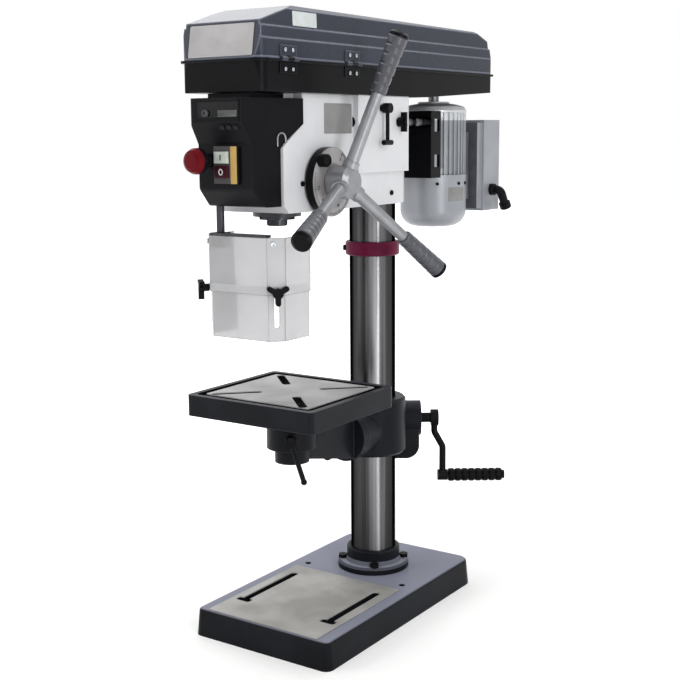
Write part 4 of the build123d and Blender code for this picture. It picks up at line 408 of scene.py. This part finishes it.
# Polyester and vinyl films, left bare: even, low gloss
greyFilm = {"colour": "#8b8b8a", "patchColour": "#7f7f7f", "rough": 0.45, "grain": (0.9, 0.9, 0.9),
            "depth": 0.01, "patch": 25, "round": 0.3}
whiteFilm = {"colour": "#d3dad9", "patchColour": "#c9d1d0", "rough": 0.35, "grain": (0.9, 0.9, 0.9),
             "depth": 0.01, "patch": 15, "round": 0.3}
# Smoked window over the readout: black, near mirror
smokedWindow = {"colour": "#0b0c0e", "patchColour": "#101114", "rough": 0.12, "roughSpread": 0.03,
                "grain": (2, 2, 2), "depth": 0.005}
# Silicone keys and a grey dial: dull
keyRubber = {"colour": "#232427", "patchColour": "#2b2c30", "rough": 0.5, "grain": (0.9, 0.9, 0.9),
             "depth": 0.02, "patch": 8, "round": 0.5}
dialGrey = {**keyRubber, "colour": "#55565a", "patchColour": "#4a4b4f"}
# Liquid crystal glass, switched off: green grey
readoutGrey = {"colour": "#3f4342", "patchColour": "#363a39", "rough": 0.25, "grain": (1, 1, 1),
               "depth": 0.005, "patch": 12}
# Ground steel, dark: on the quill and spindle the dark tone is painted shade under the head; on the guard
# post and clamp it is their own darker steel
darkSteelQuillShadeLook = {"colour": "#47484c", "patchColour": "#393a3e", "metal": 1.0, "rough": 0.32, "roughSpread": 0.08,
              "grain": (14, 14, 0.6), "depth": 0.01, "patch": 30, "round": 0.6, "grainTint": 0.2}
# Nitrile gasket and chloroprene belt: dull, dusty
gasketRubber = {"colour": "#54565d", "patchColour": "#4a4c53", "rough": 0.7, "grain": (0.9, 0.9, 0.9),
                "depth": 0.06, "patch": 30, "round": 0.5}
beltRubber = {"colour": "#161616", "patchColour": "#232221", "rough": 0.7, "grain": (0.9, 0.9, 0.9),
              "depth": 0.12, "patch": 20, "round": 0.5}
# Polycarbonate sheet: half clear, milky from fine scuffs, greyer along its cut edges, paler where it laps
sheetPc = {"colour": "#d0d0d2", "patchColour": "#c8c8ca", "wearColour": "#5e6164", "wear": 1.0,
           "wearBreak": False, "rough": 0.10, "roughSpread": 0.04, "grain": (6, 6, 40), "depth": 0.004,
           "round": 1.3}
lapPc = {**sheetPc, "colour": "#e6e6e8", "patchColour": "#e0e0e2", "wear": 0.0}

# Boxes in which a node's finish changes, in millimetres
tableZones = [
    (gutterPrimer, {"low": (-112.6, -348.1, 405), "high": (112.6, -137.9, 412.6)}),
    (tableGround, {"low": (-100.8, -336.3, 411.5), "high": (100.8, -149.7, 414)}),
]
baseZones = [(groundIron, {"low": (-109.3, -332.3, 46.4), "high": (109.3, -87.7, 49)})]
flangeZones = [  # the foot of the flange is painted paler up to its neck: painted light where it catches the lamps, and dust
    (dustAndSheenEnamel, {"low": (-62, -62, 58.5), "high": (62, 62, 65.2)}),
    (cleanEnamel, {"low": (-62, -62, 65.2), "high": (62, 62, 110)}),
]
# The lid's rim band: painted highlight
hoodRimHighlightZones = [(hoodRimHighlight, {"low": (-100, -430, 925.6), "high": (100, 330, 929.6)})]
estopShadeZones = [(plainBlack, {"low": (-60, -429, 740), "high": (0, -380, 820)})]  # painted black behind the mushroom: the collar, and painted shade on the button's back
# Paler bell: painted light
motorBellLightZones = [(bellPaintedLight, {"low": (-70, 130, 842), "high": (70, 290, 880)})]
ringZones = [(brushedPlate, {"low": (79.4, -300, 680), "high": (81, -170, 810)})]  # bare face of the ring
switchZones = [
    (yellowAbs, {"low": (13.5, -410, 700), "high": (25, -390, 900)}),
    (plainBlack, {"low": (25, -410, 700), "high": (40, -390, 900)}),
]
headZones = [(cleanEnamel, {"low": (-80, -340, 600), "high": (80, -200, 702.8)})]  # the quill lip is dark
lapZones = [(lapPc, {"low": (-80, -380, 585.6), "high": (80, -280, 597.5)})]

enamelIron = makeFinish("stove enamel on cast iron", darkEnamel, flangeZones, softGloss)
baseIron = makeFinish("enamelled base with ground pad", darkEnamel, baseZones, softGloss)
tableIron = makeFinish("enamelled table with ground top", tableEnamel, tableZones, softGloss)
armIron = makeFinish("stove enamel, wiped clean", tableEnamel, (), softGloss)
headPaint = makeFinish("off-white paint on cast iron", whitePaint, headZones)
columnTubePaintedBands = makeFinish("ground steel tube, painted highlight bands", columnSteelPaintedBands, (), roundGround)
plainSteel = makeFinish("turned mild steel", turnedSteel, (), darkMetal)
handleChrome = makeFinish("satin chrome on steel", satinChrome, (), darkMetal)
screwZinc = makeFinish("zinc-plated steel", zincPlate)
darkSteelQuillShade = makeFinish("dark ground steel, painted shade on the quill", darkSteelQuillShadeLook, (), darkMetal)
leverSteel = makeFinish("blackened steel", blackSteel, (), softGloss)
hoodPaint = makeFinish("anthracite powder coat", hoodCoat, hoodRimHighlightZones, sheetGloss)
hingePaint = makeFinish("anthracite powder coat on the hinges", hingeCoat, (), sheetGloss)
panPaint = makeFinish("black powder coat", panCoat, (), softGloss)
coverAbs = makeFinish("textured black ABS", blackAbs, (), softGloss)
knobPhenolic = makeFinish("black phenolic", blackKnob, (), softGloss)
gripPlastic = makeFinish("grey thermoplastic", greyGrip)
ringPhenolic = makeFinish("phenolic ring with a bare face", blackKnob, ringZones, softGloss)
buttonRed = makeFinish("red ABS", redAbs, estopShadeZones, softGloss)
buttonStop = makeFinish("oxide red ABS", stopAbs, (), softGloss)
buttonPale = makeFinish("pale ABS", paleAbs)
switchAbs = makeFinish("grey and yellow ABS", greyAbs, switchZones, softGloss)
collarRed = makeFinish("crimson enamel", collarEnamel, (), softGloss)
motorGrey = makeFinish("silver-grey machine paint", motorPaint, motorBellLightZones)
keyPad = makeFinish("silicone keys", keyRubber, (), softGloss)
dialPlastic = makeFinish("grey dial plastic", dialGrey, (), softGloss)
gasketGrey = makeFinish("nitrile rubber", gasketRubber, (), softGloss)
pulleyAlloy = makeFinish("turned aluminium", turnedAlloy)
plateAlloy = makeFinish("brushed aluminium plate", brushedPlate)
plateGrey = makeFinish("grey printed film", greyFilm)
plateWhite = makeFinish("white vinyl film", whiteFilm)
windowDark = makeFinish("smoked acrylic", smokedWindow, (), softGloss)
readoutGlass = makeFinish("liquid crystal glass", readoutGrey)
rubberBlack = makeFinish("chloroprene rubber", beltRubber, (), softGloss)
clearSheet = makeFinish("scuffed polycarbonate", sheetPc, (), scuffedSheet)
lapSheet = makeFinish("scuffed polycarbonate, lapped", sheetPc, lapZones, scuffedSheet)
print("finishes mixed")

nodeFinish = {
    enamelIron: ["column_flange"],
    armIron: ["table_bracket", "table_arm"],
    baseIron: ["base_plate"],
    tableIron: ["work_table"],
    headPaint: ["head_casting"],
    columnTubePaintedBands: ["column", "slide_rods"],
    plainSteel: ["lift_rack", "drive_sleeve", "sleeve_bearings", "feed_shaft", "return_spring",
                 "motor_rotor", "motor_bearings"],
    handleChrome: ["feed_hub", "feed_spokes"],
    darkSteelQuillShade: ["quill", "quill_bearings", "spindle", "guard_post", "guard_clamp"],
    screwZinc: ["tilt_bolt"],
    leverSteel: ["crank_arm", "column_clamp_lever", "table_lock_lever", "tension_lever", "head_set_screws",
                 "flange_bolts", "crank_shaft"],
    hoodPaint: ["hood_lid"],
    hingePaint: ["hinge_lid_leaves"],
    panPaint: ["pulley_pan", "hinge_pan_leaves", "motor_plate"],
    coverAbs: ["front_cover", "spring_cap", "cable_gland"],
    knobPhenolic: ["guard_knob_left", "guard_knob_right", "depth_knob", "feed_grip_caps", "motor_lock_screw",
                   "crank_grip"],
    ringPhenolic: ["depth_ring"],
    gripPlastic: ["feed_grips"],
    buttonRed: ["estop_button"],
    buttonStop: ["stop_button"],
    buttonPale: ["start_button"],
    switchAbs: ["switch_plate"],
    collarRed: ["rack_collar"],
    motorGrey: ["motor_housing", "fan_cowl", "terminal_box"],
    pulleyAlloy: ["spindle_pulley", "motor_pulley"],
    windowDark: ["display_panel"],
    rubberBlack: ["drive_belt"],
    clearSheet: ["guard_lower"],
    lapSheet: ["guard_upper"],
}
for material, names in nodeFinish.items():
    for name in names:
        nodes[name].data.materials.clear()
        nodes[name].data.materials.append(material)
print("nodes dressed")


# Modelling steps shared by the small pieces; each is shaped lying on the floor, face up, then seated
def startShape(add, **settings):
    bpy.ops.object.select_all(action="DESELECT")
    add(**settings)
    bpy.ops.object.transform_apply(location=True, rotation=True, scale=True)
    return bpy.context.object


def pick(piece, test, kind="FACE"):
    bpy.ops.object.mode_set(mode="EDIT")
    bpy.ops.mesh.select_mode(type=kind)
    bpy.ops.mesh.select_all(action="DESELECT")
    bpy.ops.object.mode_set(mode="OBJECT")
    points = piece.data.vertices
    if kind == "FACE":
        for face in piece.data.polygons:
            face.select = test(face.center, face.normal)
    elif kind == "EDGE":
        for edge in piece.data.edges:
            edge.select = test(*(points[index].co for index in edge.vertices))
    else:
        for point in points:
            point.select = test(point.co)
    bpy.ops.object.mode_set(mode="EDIT")


def facesUp(centre, normal):
    return normal.z > 0.9  # within about 25 degrees of straight up


def anyFace(centre, normal):
    return True


def faceOut():
    bpy.ops.mesh.select_all(action="SELECT")
    bpy.ops.mesh.normals_make_consistent(inside=False)


def thicken(thick):
    bpy.ops.mesh.select_all(action="SELECT")
    bpy.ops.mesh.extrude_region_move(TRANSFORM_OT_translate={"value": (0, 0, thick * mm)})
    faceOut()


def roundEdges(piece, width, steps=2, angle=30):
    bpy.ops.object.mode_set(mode="OBJECT")
    edges = piece.modifiers.new("roundEdges", "BEVEL")
    edges.width = width * mm
    edges.segments = steps
    edges.limit_method = "ANGLE"
    edges.angle_limit = math.radians(angle)
    bpy.ops.object.modifier_apply(modifier=edges.name)
    bpy.ops.object.shade_smooth_by_angle(angle=math.radians(angle))


def seat(piece, spot, out, up=upright):
    out = Vector(out).normalized()
    across = Vector(up).cross(out).normalized()
    turn = Matrix((across, out.cross(across), out)).transposed().to_4x4()
    piece.matrix_world = Matrix.Translation(Vector(spot) * mm) @ turn
    bpy.ops.object.select_all(action="DESELECT")
    piece.select_set(True)
    bpy.context.view_layer.objects.active = piece
    bpy.ops.object.transform_apply(location=True, rotation=True, scale=True)


def dress(piece, name, body, material):
    piece.name = name
    piece.data.name = name
    piece.data.materials.clear()
    piece.data.materials.append(material)
    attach(piece, body)


def joinPieces(pieces):
    bpy.ops.object.select_all(action="DESELECT")
    for piece in pieces:
        piece.select_set(True)
    bpy.context.view_layer.objects.active = pieces[0]
    if len(pieces) > 1:
        bpy.ops.object.join()
    return pieces[0]


def joinCopies(master, places):
    copies = []
    for spot, out, up in places:
        bpy.ops.object.select_all(action="DESELECT")
        master.select_set(True)
        bpy.context.view_layer.objects.active = master
        bpy.ops.object.duplicate(linked=False)
        copies.append(bpy.context.object)
        seat(copies[-1], spot, out, up)
    bpy.data.objects.remove(master)
    return joinPieces(copies)


def shapePlate(plate):
    wide, tall, thick = (side * mm for side in plate["size"])
    piece = startShape(bpy.ops.mesh.primitive_cube_add, size=1, scale=(wide, tall, thick),
                       location=(0, 0, thick / 2))
    pick(piece, lambda a, b: abs(a.x - b.x) < hair and abs(a.y - b.y) < hair, "EDGE")
    bpy.ops.mesh.bevel(offset=plate["corner"] * mm, segments=4, affect="EDGES")
    bpy.ops.object.mode_set(mode="OBJECT")
    if plate["rim"]:
        pick(piece, facesUp)
        bpy.ops.mesh.inset(thickness=plate["rim"] * mm)
        bpy.ops.transform.translate(value=(0, 0, -plate["sink"] * mm))
    roundEdges(piece, plate["edge"])
    return piece


# Screw heads: a domed rim round a socket, as shares of the radius and the height
screwHead = {"sides": 24, "rim": 0.3, "dome": 0.16, "wall": 0.22, "socket": 0.55, "edge": 0.08}


def shapeScrew(screw):
    radius, tall = screw["radius"] * mm, screw["tall"] * mm
    piece = startShape(bpy.ops.mesh.primitive_cylinder_add, vertices=screwHead["sides"], radius=radius,
                       depth=tall, location=(0, 0, tall / 2))
    pick(piece, facesUp)
    bpy.ops.mesh.inset(thickness=radius * screwHead["rim"])
    bpy.ops.transform.translate(value=(0, 0, tall * screwHead["dome"]))
    bpy.ops.mesh.inset(thickness=radius * screwHead["wall"])
    bpy.ops.mesh.extrude_region_move(TRANSFORM_OT_translate={"value": (0, 0, -tall * screwHead["socket"])})
    roundEdges(piece, screw["radius"] * screwHead["edge"])
    return piece


def setPlate(plate, name, body, material):
    piece = shapePlate(plate)
    seat(piece, plate["spot"], plate["out"])
    dress(piece, name, body, material)


def setScrews(screw, places, name, body, material):
    spots = [(spot, out, upright) for spot, out in places]
    dress(joinCopies(shapeScrew(screw), spots), name, body, material)


# Bare plates: brushed aluminium on the hood's front, white film on its side, grey film on the head
frontPlate = {"size": (118, 46, 1.4), "corner": 2.5, "rim": 2.0, "sink": 0.5, "edge": 0.3,
              "spot": (1.0, -399.7, 952), "out": (0, -0.9859, 0.1674)}
setPlate(frontPlate, "hoodFrontPlate", "lid", plateAlloy)
sidePlate = {"size": (60, 21, 0.9), "corner": 1.5, "rim": 1.0, "sink": 0.3, "edge": 0.2,
             "spot": (67.45, -288, 985.3), "out": (0.9993, 0, 0.038)}
setPlate(sidePlate, "hoodSidePlate", "lid", plateWhite)
headPlate = {"size": (75, 46, 0.8), "corner": 2.0, "rim": 1.4, "sink": 0.3, "edge": 0.2,
             "spot": (62, -194.5, 843), "out": toRight}
setPlate(headPlate, "headSidePlate", "frame", plateGrey)
print("plates on")

# Hinge screws: zinc heads, two in each leaf
hingeScrew = {"radius": 3.0, "tall": 1.9, "x": 76.5, "places": (-349, -331, -183, -165),
              "rows": (("hingeScrewsLid", "lid", 939), ("hingeScrewsPan", "frame", 912))}
for name, body, level in hingeScrew["rows"]:
    places = [((hingeScrew["x"], y, level), toRight) for y in hingeScrew["places"]]
    setScrews(hingeScrew, places, name, body, screwZinc)
print("hinge screws in")

# Readout, dial and keys on the front cover
readout = {"size": (35, 9, 1.0), "corner": 1.0, "rim": 0.9, "sink": 0.4, "edge": 0.15,
           "spot": (25.5, -419, 849.5), "out": toFront}
setPlate(readout, "readoutWindow", "frame", readoutGlass)
dial = {"radius": 5.0, "tall": 4.0, "spot": (-14.5, -419, 850)}
setScrews(dial, [(dial["spot"], toFront)], "readoutDial", "frame", dialPlastic)
key = {"size": (8, 7, 2.2), "corner": 2.0, "rim": 1.2, "sink": 0.4, "edge": 0.4,
       "x": (10, 22.5, 35), "y": -412.0, "z": 830.4, "out": (0, -0.836, -0.549)}
spots = [((x, key["y"], key["z"]), key["out"], upright) for x in key["x"]]
dress(joinCopies(shapePlate(key), spots), "coverKeys", "frame", keyPad)
print("panel fitted")

# Marks on the two switch buttons: a bar for on, a ring for off
onMark = {"size": (1.8, 8, 0.6), "corner": 0.6, "rim": 0, "sink": 0, "edge": 0.15,
          "spot": (-3, -403, 787), "out": toFront}
setPlate(onMark, "startMark", "start", knobPhenolic)
offMark = {"radius": 3.4, "wire": 0.8, "flat": 0.7, "stretch": 1.15, "segments": (36, 10),
           "spot": (-3, -403, 766)}
mark = startShape(bpy.ops.mesh.primitive_torus_add, major_radius=offMark["radius"] * mm,
                  minor_radius=offMark["wire"] * mm, major_segments=offMark["segments"][0],
                  minor_segments=offMark["segments"][1])
pick(mark, anyFace)
bpy.ops.transform.resize(value=(1, offMark["stretch"], offMark["flat"]))
bpy.ops.object.mode_set(mode="OBJECT")
bpy.ops.object.shade_smooth()
seat(mark, offMark["spot"], toFront)
dress(mark, "stopMark", "stop", plateWhite)
print("switch marked")

# Depth scale: aluminium plate on the ring's face, black marks and plain numbers, clear of the clamp knob
scale = {"inner": 27.6, "outer": 51.4, "thick": 0.34, "edge": 0.1, "sides": 96,
         "marks": 80, "long": 10, "start": 30, "span": 258, "margin": 0.6,
         "mark": (0.7, 4.0, 0.2), "longMark": (1.0, 6.4, 0.2), "markCorner": 0.1, "markEdge": 0.05,
         "number": 7.0, "numberPlace": 38.5, "numberHalf": 0.09, "numberLift": 0.1}
ringLow, ringHigh = (Vector(corner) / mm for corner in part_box("depth_ring"))
ringMiddle = (ringLow + ringHigh) / 2
ringFace = ringHigh.x
band = startShape(bpy.ops.mesh.primitive_circle_add, vertices=scale["sides"], radius=scale["inner"] * mm,
                  fill_type="NOTHING")
pick(band, lambda point: True, "VERT")
bpy.ops.mesh.extrude_region_move(TRANSFORM_OT_translate={"value": (0, 0, 0)})
widen = scale["outer"] / scale["inner"]
bpy.ops.transform.resize(value=(widen, widen, 1))
thicken(scale["thick"])
roundEdges(band, scale["edge"], steps=1, angle=60)
seat(band, (ringFace, ringMiddle.y, ringMiddle.z), toRight)
dress(band, "depthScaleBand", "depth", plateAlloy)
scaleMiddle = Vector((ringFace + scale["thick"], ringMiddle.y, ringMiddle.z))
numberMiddle = Vector((ringFace + scale["thick"] + scale["numberLift"], ringMiddle.y, ringMiddle.z))
ticks, longTicks, numbers = [], [], []
for index in range(scale["marks"]):
    turn = math.radians(scale["start"] + index * scale["span"] / (scale["marks"] - 1))
    radial = Vector((0, math.sin(turn), math.cos(turn)))
    isLong = index % scale["long"] == 0
    length = scale["longMark"][1] if isLong else scale["mark"][1]
    spot = scaleMiddle + radial * (scale["outer"] - length / 2 - scale["margin"])
    (longTicks if isLong else ticks).append((spot, toRight, radial))
    if isLong:
        bpy.ops.object.select_all(action="DESELECT")
        bpy.ops.object.text_add()
        number = bpy.context.object
        number.data.body = str(index)
        number.data.size = scale["number"] * mm
        number.data.extrude = scale["numberHalf"] * mm
        number.data.align_x = number.data.align_y = "CENTER"
        bpy.ops.object.convert(target="MESH")
        seat(number, numberMiddle + radial * scale["numberPlace"], toRight, radial)
        numbers.append(number)
rows = (("depthScaleMarks", "mark", ticks), ("depthScaleLongMarks", "longMark", longTicks))
for name, size, places in rows:
    mark = shapePlate({"size": scale[size], "corner": scale["markCorner"], "rim": 0, "sink": 0,
                       "edge": scale["markEdge"]})
    dress(joinCopies(mark, places), name, "depth", knobPhenolic)
dress(joinPieces(numbers), "depthScaleNumbers", "depth", knobPhenolic)
print("depth scale drawn")

# Small fasteners: collar, terminal box, guard, head and fan cowl
motorAxis = 211  # y of the motor's shaft
boxLow, boxHigh = (Vector(corner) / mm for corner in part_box("terminal_box"))
collarScrew = {"radius": 5.0, "tall": 4.0, "out": (-0.825, -0.565, 0), "reach": 46.6, "z": 624}
spot = Vector(collarScrew["out"]) * collarScrew["reach"] + Vector((0, 0, collarScrew["z"]))
setScrews(collarScrew, [(spot, collarScrew["out"])], "collarScrew", "frame", leverSteel)
coverScrew = {"radius": 4.0, "tall": 2.6, "inset": 12}
sides = (boxLow.x + coverScrew["inset"], boxHigh.x - coverScrew["inset"])
levels = (boxLow.z + coverScrew["inset"], boxHigh.z - coverScrew["inset"])
places = [((x, boxHigh.y, z), toBack) for x in sides for z in levels]
setScrews(coverScrew, places, "terminalCoverScrews", "motor", screwZinc)
guardScrew = {"radius": 4.2, "tall": 2.4, "x": 61.9, "y": -365.1, "z": 661}
places = [((side * guardScrew["x"], guardScrew["y"], guardScrew["z"]), (side, -1, 0)) for side in (-1, 1)]
setScrews(guardScrew, places, "guardScrews", "guard", screwZinc)
headScrew = {"radius": 4.2, "tall": 2.6, "spot": (62, -38, 721.5)}
setScrews(headScrew, [(headScrew["spot"], toRight)], "headClampScrew", "frame", leverSteel)
cowlScrew = {"radius": 3.0, "tall": 2.0, "reach": 61.2, "z": 728,
             "turns": (-143, -101, -79, -37, 37, 79, 101, 143)}
places = []
for turn in cowlScrew["turns"]:
    out = Vector((math.sin(math.radians(turn)), -math.cos(math.radians(turn)), 0))
    places.append((out * cowlScrew["reach"] + Vector((0, motorAxis, cowlScrew["z"])), out))
setScrews(cowlScrew, places, "cowlScrews", "motor", leverSteel)
print("fasteners in")

# Bare plate bent round the fan cowl
cowlPlate = {"reach": 61.55, "thick": 0.5, "low": 696, "high": 721, "start": 95, "span": 38, "steps": 14,
             "edge": 0.12}
bent = startShape(bpy.ops.mesh.primitive_plane_add, size=1)
pick(bent, anyFace)
bpy.ops.transform.resize(value=(cowlPlate["thick"] * mm, (cowlPlate["high"] - cowlPlate["low"]) * mm, 1))
bpy.ops.object.mode_set(mode="OBJECT")
begin = math.radians(cowlPlate["start"])
out = Vector((math.sin(begin), -math.cos(begin), 0))
middle = Vector((0, motorAxis, (cowlPlate["low"] + cowlPlate["high"]) / 2))
seat(bent, out * cowlPlate["reach"] + middle, (out.y, -out.x, 0))
pick(bent, anyFace)
bpy.ops.mesh.spin(steps=cowlPlate["steps"], angle=math.radians(cowlPlate["span"]),
                  center=(0, motorAxis * mm, 0), axis=upright)
faceOut()
roundEdges(bent, cowlPlate["edge"], steps=1, angle=60)
dress(bent, "cowlPlate", "motor", plateGrey)
print("cowl plate bent")

# Wire latch on the cover's right side: a bent hoop with two short legs on a foot plate
latch = {"bend": 8.5, "wire": 1.5, "leg": 11, "segments": (40, 12), "smooth": 40, "footBack": 1.6,
         "spot": (58.4, -336, 813), "out": (0.991, -0.133, 0)}
hoop = startShape(bpy.ops.mesh.primitive_torus_add, major_radius=latch["bend"] * mm,
                  minor_radius=latch["wire"] * mm, major_segments=latch["segments"][0],
                  minor_segments=latch["segments"][1])
bpy.ops.object.mode_set(mode="EDIT")
bpy.ops.mesh.select_all(action="SELECT")
bpy.ops.mesh.bisect(plane_co=(0, 0, 0), plane_no=(0, 1, 0), clear_inner=True)
pick(hoop, lambda a, b: abs(a.y) < hair and abs(b.y) < hair, "EDGE")
bpy.ops.mesh.extrude_region_move(TRANSFORM_OT_translate={"value": (0, -latch["leg"] * mm, 0)})
bpy.ops.mesh.edge_face_add()
faceOut()
bpy.ops.object.mode_set(mode="OBJECT")
bpy.ops.object.shade_smooth_by_angle(angle=math.radians(latch["smooth"]))
seat(hoop, latch["spot"], latch["out"])
dress(hoop, "coverLatch", "frame", plainSteel)
latchFoot = {"size": (24, 5, 2.0), "corner": 1.2, "rim": 0, "sink": 0, "edge": 0.4, "out": latch["out"],
             "spot": Vector(latch["spot"]) + Vector((-latch["footBack"], 0, -latch["leg"]))}
setPlate(latchFoot, "coverLatchFoot", "frame", leverSteel)
print("latch hung")

# V-belt round the middle steps: trapezoid section, wrapped edges; its rear end is centred on the motor's
# shaft
vBelt = {"front": -273, "rear": motorAxis, "wide": 12.5, "deep": 8.0, "foot": 7.3, "vertices": 120,
         "edge": 0.7, "lead": 80}
beltLow, beltHigh = (Vector(corner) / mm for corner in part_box("drive_belt"))
frontRadius, rearRadius = vBelt["front"] - beltLow.y, beltHigh.y - vBelt["rear"]
axisGap = (vBelt["rear"] - vBelt["front"]) * mm
halfDepth = vBelt["deep"] * mm / 2
growth = rearRadius / frontRadius


def onInnerLoop(point):
    if point.y < axisGap / 2:
        return math.hypot(point.x, point.y) < frontRadius * mm - halfDepth
    return math.hypot(point.x, point.y - axisGap) < rearRadius * mm - halfDepth


loop = startShape(bpy.ops.mesh.primitive_circle_add, vertices=vBelt["vertices"], radius=frontRadius * mm,
                  fill_type="NGON")
pick(loop, lambda point: point.y > hair, "VERT")
bpy.ops.transform.resize(value=(growth, growth, 1), center_override=(0, 0, 0))
bpy.ops.transform.translate(value=(0, axisGap, 0))
pick(loop, anyFace)
bpy.ops.mesh.inset(thickness=vBelt["deep"] * mm)
bpy.ops.mesh.delete(type="FACE")
thicken(vBelt["wide"])
pick(loop, onInnerLoop, "VERT")
bpy.ops.transform.resize(value=(1, 1, vBelt["foot"] / vBelt["wide"]),
                         center_override=(0, 0, vBelt["wide"] * mm / 2))
roundEdges(loop, vBelt["edge"])
seat(loop, (0, vBelt["front"], beltLow.z), upright, toBack)
loop.name = loop.data.name = "vBelt"
loop.data.materials.append(rubberBlack)
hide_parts("drive_belt")
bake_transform(loop)
print("belt round the pulleys")

# Rubber gasket between the motor pad and the terminal box
gasket = {"half": 58.6, "inner": 41.5, "thick": 1.6, "z": 758, "tall": 160, "edge": 0.4}
frameSheet = startShape(bpy.ops.mesh.primitive_plane_add, size=1)
pick(frameSheet, anyFace)
bpy.ops.transform.resize(value=(gasket["half"] * 2 * mm, gasket["tall"] * mm, 1))
bpy.ops.mesh.inset(thickness=(gasket["half"] - gasket["inner"]) * mm)
bpy.ops.mesh.delete(type="FACE")
thicken(gasket["thick"])
roundEdges(frameSheet, gasket["edge"])
seat(frameSheet, (0, boxLow.y, gasket["z"]), toFront)
dress(frameSheet, "terminalGasket", "motor", gasketGrey)
print("gasket laid")
